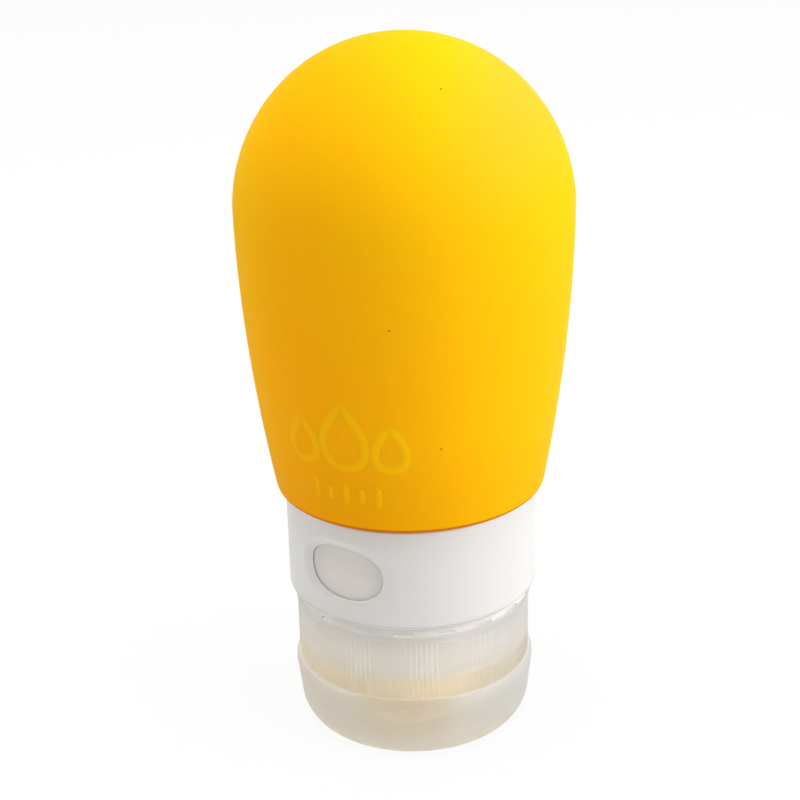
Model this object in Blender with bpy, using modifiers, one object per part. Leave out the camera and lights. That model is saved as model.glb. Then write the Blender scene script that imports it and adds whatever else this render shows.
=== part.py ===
"""Squeeze bottle for travel: a silicone bulb that stands on its flip-top screw cap.

Metres, +Z up. The origin is the centre of the lid's flat face, on which the bottle stands,
and the Z axis is the bottle's own axis. The lid's thumb scoop faces -Y and its hinge +Y.
"""
import math

import bmesh
import bpy
from mathutils import Matrix, Vector

# Clearances between separate pieces
SEAT_GAP = 0.0003

# Silicone bulb
BULB_RADIUS = 0.0225
BULB_DOME_HEIGHT = 0.02225
BULB_TAPER_HEIGHT = 0.0394
BULB_WALL = 0.0022
HEM_OVERHANG = 0.0011
HEM_FILLET = 0.0009
LIP_WALL = 0.0015
LIP_DEPTH = 0.0091
LIP_GROOVE_DEPTH = 0.0006

# Neck insert, which the silicone lip plugs into
BORE_RADIUS = 0.0114
NECK_TUBE_WALL = 0.001
NECK_OUTER_WALL = 0.0007
NECK_FLANGE_OVERLAP = 0.0007
NECK_FLANGE_THICKNESS = 0.00045
NECK_WEB_THICKNESS = 0.002
THREAD_WALL = 0.002
THREAD_ROOM = 0.00085

# Identity dial
DIAL_WALL = 0.00095
DIAL_RIM_HEIGHT = 0.0011
DIAL_TAB_COUNT = 18
DIAL_TAB_WALL = 0.0004
DIAL_NOTCH_WIDTH = 0.0027
DIAL_NOTCH_HEIGHT = 0.0009

# Collar with its oval window
COLLAR_HEIGHT = 0.0146
COLLAR_WALL = 0.00065
COLLAR_FLANGE_THICKNESS = 0.00125
COLLAR_GROOVE_DEPTH = 0.0005
COLLAR_BOTTOM_FILLET = 0.0005
WINDOW_WIDTH = 0.0116
WINDOW_HEIGHT = 0.0078
WINDOW_AZIMUTH = math.radians(-28.5)
WINDOW_POWER = 2.3

# Screw cap
SKIRT_HEIGHT = 0.00941
SKIRT_WALL = 0.0016
SKIRT_RIM_HEIGHT = 0.0007
RIB_DEPTH = 0.00045
RIB_COUNT = 144
DECK_THICKNESS = 0.0012
DECK_STEP = 0.00244
DECK_TAPER = 0.00033
SPOUT_RADIUS = 0.0046
SPOUT_WALL = 0.0016
SPOUT_HEIGHT = 0.0015
VALVE_WELL_WALL = 0.0009
VALVE_WELL_HEIGHT = 0.0022

# Gasket, valve and its retaining ring
GASKET_THICKNESS = 0.0036
GASKET_WIDTH = 0.003
VALVE_RADIUS = 0.0066
VALVE_FLANGE_THICKNESS = 0.0008
VALVE_HEAD_THICKNESS = 0.0007
VALVE_SLEEVE_WALL = 0.0006
VALVE_SLIT_LENGTH = 0.0046
VALVE_SLIT_WIDTH = 0.00025
RETAINER_THICKNESS = 0.0008

# Flip lid
LID_HEIGHT = 0.00944
LID_PROUD = 0.00055
LID_WALL = 0.0014
LID_TAPER = 0.00065
LID_EDGE_HEIGHT = 0.0043
LID_EDGE_WIDTH = 0.00275
SEAL_RING_WALL = 0.0008
SCOOP_HALF_ANGLE = math.radians(27)
SCOOP_HEIGHT = 0.0033
SCOOP_DEPTH = 0.0008

# Living hinge at the back
STRAP_WIDTH = 0.003
STRAP_SPACING = 0.0052
STRAP_THICKNESS = 0.00045
STRAP_REACH = 0.0022
HINGE_FLAT_DEPTH = 0.00055

# Facets round the turned pieces
BULB_STEPS = 56
RING_STEPS = 48
SMALL_STEPS = 32

# Heights, from the face that the bottle stands on upwards
DECK_FACE_Z = LID_HEIGHT - DECK_STEP
DECK_INNER_Z = DECK_FACE_Z + DECK_THICKNESS
GASKET_Z = DECK_INNER_Z + SEAT_GAP
NECK_END_Z = GASKET_Z + GASKET_THICKNESS + SEAT_GAP
SKIRT_Z = LID_HEIGHT + SEAT_GAP
SKIRT_TOP_Z = SKIRT_Z + SKIRT_HEIGHT
DIAL_Z = SKIRT_TOP_Z + SEAT_GAP
DIAL_RIM_TOP_Z = DIAL_Z + DIAL_RIM_HEIGHT
COLLAR_Z = DIAL_RIM_TOP_Z + SEAT_GAP
COLLAR_TOP_Z = COLLAR_Z + COLLAR_HEIGHT
FLANGE_Z = COLLAR_TOP_Z - COLLAR_FLANGE_THICKNESS
HEM_Z = COLLAR_TOP_Z + SEAT_GAP
WIDEST_Z = HEM_Z + BULB_TAPER_HEIGHT
TOP_Z = WIDEST_Z + BULB_DOME_HEIGHT

# Radii, from the bore of the neck outwards
TUBE_RADIUS = BORE_RADIUS + NECK_TUBE_WALL
LIP_INNER_RADIUS = TUBE_RADIUS + SEAT_GAP
LIP_RADIUS = LIP_INNER_RADIUS + LIP_WALL
CHANNEL_RADIUS = LIP_RADIUS + SEAT_GAP
NECK_RADIUS = CHANNEL_RADIUS + NECK_OUTER_WALL
DIAL_INNER_RADIUS = NECK_RADIUS + SEAT_GAP
DIAL_RADIUS = DIAL_INNER_RADIUS + DIAL_WALL
COLLAR_INNER_RADIUS = DIAL_RADIUS + SEAT_GAP
COLLAR_RADIUS = COLLAR_INNER_RADIUS + COLLAR_WALL
HEM_RADIUS = COLLAR_RADIUS + HEM_OVERHANG
FLANGE_RADIUS = NECK_RADIUS + NECK_FLANGE_OVERLAP
DIAL_RABBET_RADIUS = FLANGE_RADIUS + SEAT_GAP
DIAL_RIM_RADIUS = DIAL_RABBET_RADIUS + DIAL_TAB_WALL
THREAD_RADIUS = BORE_RADIUS + THREAD_WALL
SKIRT_INNER_RADIUS = THREAD_RADIUS + THREAD_ROOM + SEAT_GAP
SKIRT_RADIUS = SKIRT_INNER_RADIUS + SKIRT_WALL
RIB_RADIUS = SKIRT_RADIUS + RIB_DEPTH
LID_RADIUS = RIB_RADIUS + LID_PROUD
LID_MOUTH_RADIUS = LID_RADIUS - LID_WALL
DECK_RADIUS = LID_MOUTH_RADIUS - SEAT_GAP
SPOUT_OUTER_RADIUS = SPOUT_RADIUS + SPOUT_WALL
SEAL_INNER_RADIUS = SPOUT_OUTER_RADIUS + SEAT_GAP
WELL_RADIUS = VALVE_RADIUS + SEAT_GAP

# The flat at the back that the hinge straps lie on, and the hinge line in their thickness
HINGE_FLAT_Y = LID_RADIUS - HINGE_FLAT_DEPTH
HINGE_Y = HINGE_FLAT_Y + SEAT_GAP + STRAP_THICKNESS / 2
HINGE_Z = LID_HEIGHT + SEAT_GAP / 2

# Powers that shape the bulb: the dome is a superellipse, the side below it eases inwards
DOME_POWER_UP = 1.9
DOME_POWER_OUT = 2.08
TAPER_POWER = 1.85


def clear_scene():
    for old in list(bpy.data.objects):
        bpy.data.objects.remove(old, do_unlink=True)


def new_collection(name):
    collection = bpy.data.collections.new(name)
    bpy.context.scene.collection.children.link(collection)
    return collection


def plastic(name, color, roughness, transmission=0.0):
    material = bpy.data.materials.new(name)
    material.use_nodes = True
    shader = material.node_tree.nodes["Principled BSDF"]
    shader.inputs["Base Color"].default_value = (*color, 1.0)
    shader.inputs["Roughness"].default_value = roughness
    shader.inputs["Metallic"].default_value = 0.0
    shader.inputs["Transmission Weight"].default_value = transmission
    material.diffuse_color = (*color, 1.0)
    return material


def add_part(name, mesh, material):
    part = bpy.data.objects.new(name, mesh)
    mesh.materials.append(material)
    parts.objects.link(part)
    return part


def add_cutter(name, mesh):
    cutter = bpy.data.objects.new(name, mesh)
    cutter.hide_render = True
    cutter.display_type = "WIRE"
    cutters.objects.link(cutter)
    return cutter


def boolean(part, operation, tool):
    modifier = part.modifiers.new(operation.title() + " " + tool.name, "BOOLEAN")
    modifier.operation = operation
    modifier.solver = "EXACT"
    modifier.object = tool


def filleted(corners, steps=2):
    """Points of an outline whose (radius, height, fillet) corners are rounded with arcs."""
    points = []
    for index, (radius, height, fillet) in enumerate(corners):
        corner = Vector((radius, height))
        if fillet == 0:
            points.append(corner)
            continue
        before = Vector(corners[index - 1][:2]) - corner
        after = Vector(corners[(index + 1) % len(corners)][:2]) - corner
        half = before.angle(after) / 2
        reach = fillet / math.tan(half)
        start = corner + before.normalized() * reach
        end = corner + after.normalized() * reach
        bisector = (before.normalized() + after.normalized()).normalized()
        center = corner + bisector * (fillet / math.sin(half))
        sweep = (start - center).angle_signed(end - center)
        for step in range(steps + 1):
            turn = Matrix.Rotation(-sweep * step / steps, 2)
            points.append(center + turn @ (start - center))
    return points


def turned(name, points, closed, steps):
    """Mesh turned about Z from an outline in the XZ plane that runs down its outer side."""
    mesh = bpy.data.meshes.new(name + " outline")
    count = len(points)
    edges = [(i, i + 1) for i in range(count - 1)]
    if closed:
        edges.append((count - 1, 0))
    mesh.from_pydata([(max(p.x, 0.0), 0.0, p.y) for p in points], edges, [])
    outline = bpy.data.objects.new(name + " outline", mesh)
    cutters.objects.link(outline)
    screw = outline.modifiers.new("Screw", "SCREW")
    screw.axis = "Z"
    screw.angle = math.tau
    screw.steps = steps
    screw.render_steps = steps
    screw.use_merge_vertices = True
    screw.merge_threshold = 0.000001
    return settled_mesh(outline, name)


def settled_mesh(source, name):
    """The mesh that an object's modifiers make, kept under a new name; the object goes."""
    depsgraph = bpy.context.evaluated_depsgraph_get()
    mesh = bpy.data.meshes.new_from_object(source.evaluated_get(depsgraph))
    mesh.name = name
    old = source.data
    bpy.data.objects.remove(source, do_unlink=True)
    bpy.data.meshes.remove(old)
    return mesh


def box_mesh(name, low, high):
    bm = bmesh.new()
    low = Vector(low)
    high = Vector(high)
    size = Matrix.Diagonal((*(high - low), 1.0))
    bmesh.ops.create_cube(bm, size=1.0, matrix=Matrix.Translation((low + high) / 2) @ size)
    mesh = bpy.data.meshes.new(name)
    bm.to_mesh(mesh)
    bm.free()
    return mesh


def lofted_mesh(name, sections):
    """Closed mesh through sections that all have the same number of points."""
    bm = bmesh.new()
    rings = [[bm.verts.new(point) for point in section] for section in sections]
    count = len(rings[0])
    for ring, following in zip(rings, rings[1:]):
        for i in range(count):
            j = (i + 1) % count
            bm.faces.new((ring[i], ring[j], following[j], following[i]))
    bm.faces.new(rings[0])
    bm.faces.new(rings[-1])
    bmesh.ops.recalc_face_normals(bm, faces=bm.faces)
    mesh = bpy.data.meshes.new(name)
    bm.to_mesh(mesh)
    bm.free()
    return mesh


def on_cylinder(radius, azimuth, height):
    """Point at an azimuth measured from the front, which is -Y, towards +X."""
    return Vector((radius * math.sin(azimuth), -radius * math.cos(azimuth), height))


def bulb_side_radius(height):
    """Outer radius of the bulb's side between its hem and its widest height."""
    below = (WIDEST_Z - height) / BULB_TAPER_HEIGHT
    return BULB_RADIUS - (BULB_RADIUS - HEM_RADIUS) * below ** TAPER_POWER


def bulb_dome(inset, steps):
    """Dome from its top down to the widest height, moved inwards by the inset."""
    points = []
    for step in range(steps):
        angle = math.pi / 2 * (1 - step / steps)
        out = math.cos(angle) ** (2 / DOME_POWER_OUT) if step else 0.0
        up = math.sin(angle) ** (2 / DOME_POWER_UP)
        height = WIDEST_Z + (BULB_DOME_HEIGHT - inset) * up
        points.append(((BULB_RADIUS - inset) * out, height, 0.0))
    return points


def bulb_side(inset, lowest, steps):
    """Side from the widest height down to just above its lowest corner."""
    heights = [WIDEST_Z + (lowest - WIDEST_Z) * step / steps for step in range(steps)]
    return [(bulb_side_radius(height) - inset, height, 0.0) for height in heights]


def make_silicone_body():
    """Bulb, hem over the collar, and a beaded lip that plugs into the neck insert."""
    throat_z = HEM_Z + BULB_WALL
    groove_radius = LIP_RADIUS - LIP_GROOVE_DEPTH
    bead_z = FLANGE_Z - SEAT_GAP
    outer = bulb_dome(0.0, 10) + bulb_side(0.0, HEM_Z, 6)
    hem = [
        (HEM_RADIUS, HEM_Z, HEM_FILLET),
        (groove_radius, HEM_Z, 0.0),
        (groove_radius, bead_z, 0.0),
        (LIP_RADIUS, bead_z, 0.0),
        (LIP_RADIUS, FLANGE_Z - LIP_DEPTH + SEAT_GAP, 0.0),
        (LIP_INNER_RADIUS, FLANGE_Z - LIP_DEPTH + SEAT_GAP, 0.0),
        (LIP_INNER_RADIUS, throat_z, BULB_WALL / 4),
        (bulb_side_radius(throat_z) - BULB_WALL, throat_z, BULB_WALL),
    ]
    inner = list(reversed(bulb_dome(BULB_WALL, 7) + bulb_side(BULB_WALL, throat_z, 4)))
    points = filleted(outer + hem + inner)
    mesh = turned("silicone_body", points, False, BULB_STEPS)
    return add_part("silicone_body", mesh, silicone)


def make_neck_insert():
    """Tube with a channel for the lip above, and a plain threaded stub below."""
    channel_floor = FLANGE_Z - LIP_DEPTH
    web_floor = channel_floor - NECK_WEB_THICKNESS
    flange_top = DIAL_Z + NECK_FLANGE_THICKNESS
    wall_top = FLANGE_Z + COLLAR_GROOVE_DEPTH - SEAT_GAP
    corners = [
        (TUBE_RADIUS, COLLAR_TOP_Z, 0.0),
        (TUBE_RADIUS, channel_floor, 0.0),
        (CHANNEL_RADIUS, channel_floor, 0.0),
        (CHANNEL_RADIUS, wall_top, 0.0),
        (NECK_RADIUS, wall_top, 0.0),
        (NECK_RADIUS, flange_top, 0.0),
        (FLANGE_RADIUS, flange_top, 0.0),
        (FLANGE_RADIUS, DIAL_Z, 0.0),
        (CHANNEL_RADIUS, DIAL_Z, 0.0),
        (CHANNEL_RADIUS, web_floor, 0.0),
        (THREAD_RADIUS, web_floor, 0.0),
        (THREAD_RADIUS, NECK_END_Z, 0.0),
        (BORE_RADIUS, NECK_END_Z, 0.0),
        (BORE_RADIUS, COLLAR_TOP_Z, 0.0),
    ]
    mesh = turned("neck_insert", filleted(corners), True, RING_STEPS)
    return add_part("neck_insert", mesh, natural_plastic)


def make_collar():
    """White sleeve whose flange grips the lip's groove, with an oval window."""
    groove_top = FLANGE_Z + COLLAR_GROOVE_DEPTH
    inner_edge = LIP_RADIUS - LIP_GROOVE_DEPTH + SEAT_GAP
    corners = [
        (COLLAR_RADIUS, COLLAR_TOP_Z, 0.0),
        (COLLAR_RADIUS, COLLAR_Z, COLLAR_BOTTOM_FILLET),
        (COLLAR_INNER_RADIUS, COLLAR_Z, 0.0),
        (COLLAR_INNER_RADIUS, FLANGE_Z, 0.0),
        (DIAL_INNER_RADIUS, FLANGE_Z, 0.0),
        (DIAL_INNER_RADIUS, groove_top, 0.0),
        (LIP_RADIUS, groove_top, 0.0),
        (LIP_RADIUS, FLANGE_Z, 0.0),
        (inner_edge, FLANGE_Z, 0.0),
        (inner_edge, COLLAR_TOP_Z, 0.0),
    ]
    mesh = turned("collar", filleted(corners, 3), True, RING_STEPS)
    collar = add_part("collar", mesh, white_plastic)
    boolean(collar, "DIFFERENCE", make_window_cutter())
    return collar


def make_window_cutter():
    """Squarish oval plug that crosses the collar's wall at the window's azimuth."""
    bm = bmesh.new()
    bmesh.ops.create_cone(
        bm, cap_ends=True, cap_tris=False, segments=32, radius1=0.5, radius2=0.5,
        depth=WINDOW_HEIGHT / 2, matrix=Matrix.Rotation(math.pi / 2, 4, "X"),
    )
    for vert in bm.verts:
        for axis in (0, 2):
            share = abs(vert.co[axis]) * 2
            vert.co[axis] = math.copysign(share ** (2 / WINDOW_POWER) / 2, vert.co[axis])
    bmesh.ops.scale(bm, vec=(WINDOW_WIDTH, 1.0, WINDOW_HEIGHT), verts=bm.verts)
    mesh = bpy.data.meshes.new("window cutter")
    bm.to_mesh(mesh)
    bm.free()
    cutter = add_cutter("window_cutter", mesh)
    middle = (COLLAR_INNER_RADIUS + COLLAR_RADIUS) / 2
    height = COLLAR_Z + COLLAR_HEIGHT / 2
    cutter.location = on_cylinder(middle, WINDOW_AZIMUTH, height)
    cutter.rotation_euler = (0.0, 0.0, WINDOW_AZIMUTH)
    return cutter


def make_id_dial():
    """Thin ring behind the window, with a rim of grip tabs that shows below the collar."""
    rabbet_top = DIAL_Z + NECK_FLANGE_THICKNESS + SEAT_GAP
    corners = [
        (DIAL_RADIUS, FLANGE_Z - SEAT_GAP, 0.0),
        (DIAL_RADIUS, DIAL_RIM_TOP_Z, 0.0),
        (DIAL_RIM_RADIUS, DIAL_RIM_TOP_Z, 0.0),
        (DIAL_RIM_RADIUS, DIAL_Z, 0.0),
        (DIAL_RABBET_RADIUS, DIAL_Z, 0.0),
        (DIAL_RABBET_RADIUS, rabbet_top, 0.0),
        (DIAL_INNER_RADIUS, rabbet_top, 0.0),
        (DIAL_INNER_RADIUS, FLANGE_Z - SEAT_GAP, 0.0),
    ]
    mesh = turned("id_dial", filleted(corners), True, RING_STEPS)
    dial = add_part("id_dial", mesh, natural_plastic)
    boolean(dial, "DIFFERENCE", make_notch_cutter())
    return dial


def make_notch_cutter():
    """Blocks that leave a ring of tabs standing on the dial's lower edge."""
    bm = bmesh.new()
    inner = DIAL_RABBET_RADIUS - SEAT_GAP
    outer = DIAL_RIM_RADIUS + DIAL_TAB_WALL
    size = Matrix.Diagonal((DIAL_NOTCH_WIDTH, outer - inner, DIAL_NOTCH_HEIGHT * 2, 1.0))
    place = Matrix.Translation((0.0, -(inner + outer) / 2, DIAL_Z))
    for index in range(DIAL_TAB_COUNT):
        turn = Matrix.Rotation(math.tau * index / DIAL_TAB_COUNT, 4, "Z")
        bmesh.ops.create_cube(bm, size=1.0, matrix=turn @ place @ size)
    mesh = bpy.data.meshes.new("notch cutter")
    bm.to_mesh(mesh)
    bm.free()
    return add_cutter("notch_cutter", mesh)


def make_cap_base():
    """Ribbed screw cap: skirt, deck, spout ring below it and valve well above it."""
    rim_z = SKIRT_TOP_Z - SKIRT_RIM_HEIGHT
    well_top = DECK_INNER_Z + VALVE_WELL_HEIGHT
    well_outer = WELL_RADIUS + VALVE_WELL_WALL
    spout_z = DECK_FACE_Z - SPOUT_HEIGHT
    corners = [
        (RIB_RADIUS, SKIRT_TOP_Z, RIB_DEPTH / 2),
        (RIB_RADIUS, rim_z, 0.0),
        (SKIRT_RADIUS, rim_z - RIB_DEPTH, 0.0),
        (SKIRT_RADIUS, SKIRT_Z, 0.0),
        (DECK_RADIUS, SKIRT_Z, 0.0),
        (DECK_RADIUS - DECK_TAPER, DECK_FACE_Z, DECK_THICKNESS / 4),
        (SPOUT_OUTER_RADIUS, DECK_FACE_Z, 0.0),
        (SPOUT_OUTER_RADIUS, spout_z, 0.0),
        (SPOUT_RADIUS, spout_z, 0.0),
        (SPOUT_RADIUS, DECK_INNER_Z, 0.0),
        (WELL_RADIUS, DECK_INNER_Z, 0.0),
        (WELL_RADIUS, well_top, 0.0),
        (well_outer, well_top, 0.0),
        (well_outer, DECK_INNER_Z, 0.0),
        (SKIRT_INNER_RADIUS, DECK_INNER_Z, 0.0),
        (SKIRT_INNER_RADIUS, SKIRT_TOP_Z, 0.0),
    ]
    mesh = turned("cap_base", filleted(corners, 1), True, RING_STEPS)
    cap = add_part("cap_base", mesh, natural_plastic)
    boolean(cap, "UNION", make_rib_band(SKIRT_Z + RIB_DEPTH, rim_z + RIB_DEPTH / 2))
    boolean(cap, "UNION", make_hinge_pad())
    return cap


def make_rib_band(bottom, top):
    """Hollow prism whose outline goes in and out once for each grip rib, but plain at the hinge."""
    tip = RIB_RADIUS - RIB_DEPTH / 8
    root = SKIRT_RADIUS - RIB_DEPTH / 2
    inner = SKIRT_RADIUS - SKIRT_WALL / 2
    points = 2 * RIB_COUNT
    plain = math.asin(hinge_half_width() / SKIRT_RADIUS) + math.tau / RIB_COUNT
    azimuths = [math.tau * (i + 0.5) / points for i in range(points)]
    bm = bmesh.new()
    rings = []
    for height in (bottom, top):
        outline = [
            bm.verts.new(on_cylinder(
                root if i % 2 or abs(azimuth - math.pi) < plain else tip, azimuth, height))
            for i, azimuth in enumerate(azimuths)
        ]
        hole = [bm.verts.new(on_cylinder(inner, azimuth, height)) for azimuth in azimuths[::2]]
        rings.append((outline, hole))
    (low_out, low_in), (high_out, high_in) = rings
    for i in range(points):
        j = (i + 1) % points
        bm.faces.new((low_out[i], low_out[j], high_out[j], high_out[i]))
    for i in range(RIB_COUNT):
        j = (i + 1) % RIB_COUNT
        bm.faces.new((high_in[i], high_in[j], low_in[j], low_in[i]))
        for out, hole in rings:
            bm.faces.new((hole[i], out[2 * i], out[2 * i + 1]))
            bm.faces.new((hole[i], out[2 * i + 1], hole[j]))
            bm.faces.new((hole[j], out[2 * i + 1], out[2 * j]))
    bmesh.ops.recalc_face_normals(bm, faces=bm.faces)
    mesh = bpy.data.meshes.new("rib band")
    bm.to_mesh(mesh)
    bm.free()
    return add_cutter("rib_band", mesh)


def hinge_half_width():
    return STRAP_SPACING / 2 + STRAP_WIDTH / 2 + SEAT_GAP


def make_hinge_pad():
    """Flat pad on the skirt's back that the straps lie on."""
    low = (-hinge_half_width(), SKIRT_RADIUS - SKIRT_WALL / 2, SKIRT_Z + SEAT_GAP / 3)
    high = (hinge_half_width(), HINGE_FLAT_Y, HINGE_Z + STRAP_REACH + SEAT_GAP)
    return add_cutter("hinge_pad", box_mesh("hinge pad", low, high))


def make_cap_gasket():
    """Flat silicone ring between the cap's deck and the end of the neck."""
    outer = SKIRT_INNER_RADIUS - SEAT_GAP
    inner = outer - GASKET_WIDTH
    top = GASKET_Z + GASKET_THICKNESS
    corners = [
        (outer, top, GASKET_THICKNESS / 6),
        (outer, GASKET_Z, GASKET_THICKNESS / 6),
        (inner, GASKET_Z, 0.0),
        (inner, top, 0.0),
    ]
    mesh = turned("cap_gasket", filleted(corners, 1), True, RING_STEPS)
    return add_part("cap_gasket", mesh, cream_silicone)


def make_valve_membrane():
    """Flanged silicone valve whose thin head hangs in the spout, cut by a cross slit."""
    flange_z = DECK_INNER_Z + SEAT_GAP
    flange_top = flange_z + VALVE_FLANGE_THICKNESS
    sleeve = SPOUT_RADIUS - SEAT_GAP
    head_z = DECK_FACE_Z - VALVE_HEAD_THICKNESS
    bowl = sleeve - VALVE_SLEEVE_WALL
    corners = [
        (0.0, head_z + VALVE_HEAD_THICKNESS, 0.0),
        (bowl / 2, head_z + VALVE_HEAD_THICKNESS * 1.15, 0.0),
        (bowl, DECK_INNER_Z, 0.0),
        (bowl, flange_top, 0.0),
        (VALVE_RADIUS, flange_top, 0.0),
        (VALVE_RADIUS, flange_z, 0.0),
        (sleeve, flange_z, 0.0),
        (sleeve, head_z + VALVE_HEAD_THICKNESS, 0.0),
        (bowl / 2, head_z + VALVE_HEAD_THICKNESS * 0.15, 0.0),
        (0.0, head_z, 0.0),
    ]
    mesh = turned("valve_membrane", filleted(corners), False, SMALL_STEPS)
    valve = add_part("valve_membrane", mesh, clear_silicone)
    half = VALVE_SLIT_LENGTH / 2
    thin = VALVE_SLIT_WIDTH / 2
    for name, reach_x, reach_y in (("slit_x", half, thin), ("slit_y", thin, half)):
        low = (-reach_x, -reach_y, head_z - DECK_THICKNESS)
        high = (reach_x, reach_y, flange_top)
        boolean(valve, "DIFFERENCE", add_cutter(name, box_mesh(name, low, high)))
    return valve


def make_valve_retainer():
    """Ring pressed into the well over the valve's flange."""
    bottom = DECK_INNER_Z + SEAT_GAP + VALVE_FLANGE_THICKNESS + SEAT_GAP
    top = bottom + RETAINER_THICKNESS
    corners = [
        (VALVE_RADIUS, top, RETAINER_THICKNESS / 4),
        (VALVE_RADIUS, bottom, 0.0),
        (SPOUT_RADIUS, bottom, 0.0),
        (SPOUT_RADIUS, top, RETAINER_THICKNESS / 4),
    ]
    mesh = turned("valve_retainer", filleted(corners, 1), True, SMALL_STEPS)
    return add_part("valve_retainer", mesh, white_plastic)


def lid_outer_radius(height):
    """Radius of the lid's wall between its rounded lower edge and its rim."""
    share = (LID_HEIGHT - height) / (LID_HEIGHT - LID_EDGE_HEIGHT)
    return LID_RADIUS - LID_TAPER * share


def lid_edge(radius, bottom, width, height, steps):
    """Quarter ellipse from the lid's wall down to its flat face."""
    points = []
    for step in range(steps + 1):
        angle = math.pi / 2 * step / steps
        out = radius - width * (1 - math.cos(angle))
        points.append((out, bottom + height * (1 - math.sin(angle)), 0.0))
    return points


def make_flip_lid():
    """Shallow cup with a sealing ring, a thumb scoop in front and a hinge flat behind."""
    seal_outer = SEAL_INNER_RADIUS + SEAL_RING_WALL
    seal_top = DECK_FACE_Z - SEAT_GAP
    base_radius = LID_RADIUS - LID_TAPER
    inner_edge = lid_edge(
        base_radius - LID_WALL, LID_WALL, LID_EDGE_WIDTH, LID_EDGE_HEIGHT - LID_WALL, 3)
    corners = [
        (0.0, LID_WALL, 0.0),
        (SEAL_INNER_RADIUS, LID_WALL, 0.0),
        (SEAL_INNER_RADIUS, seal_top, 0.0),
        (seal_outer, seal_top, 0.0),
        (seal_outer, LID_WALL, 0.0),
        *reversed(inner_edge),
        (LID_MOUTH_RADIUS, LID_HEIGHT, 0.0),
        (LID_RADIUS, LID_HEIGHT, SEAT_GAP),
        *lid_edge(base_radius, 0.0, LID_EDGE_WIDTH, LID_EDGE_HEIGHT, 6),
        (0.0, 0.0, 0.0),
    ]
    mesh = turned("flip_lid", filleted(corners), False, RING_STEPS)
    lid = add_part("flip_lid", mesh, natural_plastic)
    boolean(lid, "DIFFERENCE", make_scoop_cutter())
    boolean(lid, "DIFFERENCE", make_hinge_flat_cutter())
    return lid


def make_scoop_cutter():
    """Crescent that follows the lid's wall, deepest in the middle and at the rim."""
    outside = LID_RADIUS * 1.1
    sections = []
    count = 12
    for index in range(count + 1):
        share = 2 * index / count - 1
        azimuth = SCOOP_HALF_ANGLE * share
        bulge = max(1 - share * share, 0.02)
        bottom = LID_HEIGHT - SCOOP_HEIGHT * bulge ** 0.6
        depth = SCOOP_DEPTH * bulge
        top = LID_HEIGHT + SCOOP_DEPTH
        wall = lid_outer_radius(bottom)
        sections.append([
            on_cylinder(outside, azimuth, bottom - SCOOP_DEPTH / 3),
            on_cylinder(wall - depth * 0.1, azimuth, bottom),
            on_cylinder(wall - depth * 0.8, azimuth, bottom + (LID_HEIGHT - bottom) * 0.35),
            on_cylinder(LID_RADIUS - depth, azimuth, top),
            on_cylinder(outside, azimuth, top),
        ])
    return add_cutter("scoop_cutter", lofted_mesh("scoop cutter", sections))


def make_hinge_flat_cutter():
    """Block that levels the lid's back where the straps lie."""
    low = (-LID_RADIUS, HINGE_FLAT_Y, HINGE_Z - STRAP_REACH - SEAT_GAP)
    high = (LID_RADIUS, LID_RADIUS * 1.2, LID_HEIGHT * 1.2)
    return add_cutter("hinge_flat_cutter", box_mesh("hinge flat cutter", low, high))


def make_hinge_strap(name, side):
    """Thin strap across the seam, with its ends rounded."""
    middle = side * STRAP_SPACING / 2
    low = (middle - STRAP_WIDTH / 2, HINGE_Y - STRAP_THICKNESS / 2, HINGE_Z - STRAP_REACH)
    high = (middle + STRAP_WIDTH / 2, HINGE_Y + STRAP_THICKNESS / 2, HINGE_Z + STRAP_REACH)
    strap = add_part(name, box_mesh(name, low, high), natural_plastic)
    bevel = strap.modifiers.new("Rounded edges", "BEVEL")
    bevel.width = STRAP_THICKNESS / 4
    bevel.segments = 1
    return strap


def add_axis(name, location):
    """Empty that marks a joint's axis and carries what turns about it."""
    axis = bpy.data.objects.new(name, None)
    axis.empty_display_size = BORE_RADIUS
    axis.location = location
    parts.objects.link(axis)
    return axis


def carry(parent, children):
    """Parents the children to an axis without moving them."""
    bpy.context.view_layer.update()
    for child in children:
        child.parent = parent
        child.matrix_parent_inverse = parent.matrix_world.inverted()


def smooth(part):
    """Settles a part's modifiers and shades it smooth up to its sharp edges."""
    depsgraph = bpy.context.evaluated_depsgraph_get()
    mesh = bpy.data.meshes.new_from_object(part.evaluated_get(depsgraph))
    part.modifiers.clear()
    part.data = mesh
    mesh.name = part.name
    mesh.shade_smooth()
    mesh.set_sharp_from_angle(angle=math.radians(35))


clear_scene()
parts = new_collection("squeeze_bottle")
cutters = new_collection("cutters")
silicone = plastic("yellow_silicone", (0.9, 0.52, 0.01), 0.5)
clear_silicone = plastic("clear_silicone", (0.85, 0.85, 0.83), 0.4, 0.4)
cream_silicone = plastic("cream_silicone", (0.78, 0.68, 0.42), 0.5)
white_plastic = plastic("white_plastic", (0.85, 0.84, 0.82), 0.35)
natural_plastic = plastic("natural_plastic", (0.78, 0.77, 0.74), 0.4, 0.3)

body = make_silicone_body()
neck = make_neck_insert()
collar = make_collar()
dial = make_id_dial()
gasket = make_cap_gasket()
cap = make_cap_base()
valve = make_valve_membrane()
retainer = make_valve_retainer()
lid = make_flip_lid()
strap_left = make_hinge_strap("hinge_strap_left", -1)
strap_right = make_hinge_strap("hinge_strap_right", 1)

for piece in list(parts.objects):
    smooth(piece)

screw_axis = add_axis("cap_screw_axis", (0.0, 0.0, SKIRT_Z))
hinge_axis = add_axis("lid_hinge_axis", (0.0, HINGE_Y, HINGE_Z))
carry(screw_axis, [gasket, cap, valve, retainer, strap_left, strap_right, hinge_axis])
carry(hinge_axis, [lid])
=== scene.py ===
# Looks of the squeeze bottle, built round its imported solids: skins, threads, ribs, relief, light
import math

import bmesh
import bpy
import numpy as np
from mathutils import Matrix


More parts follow.
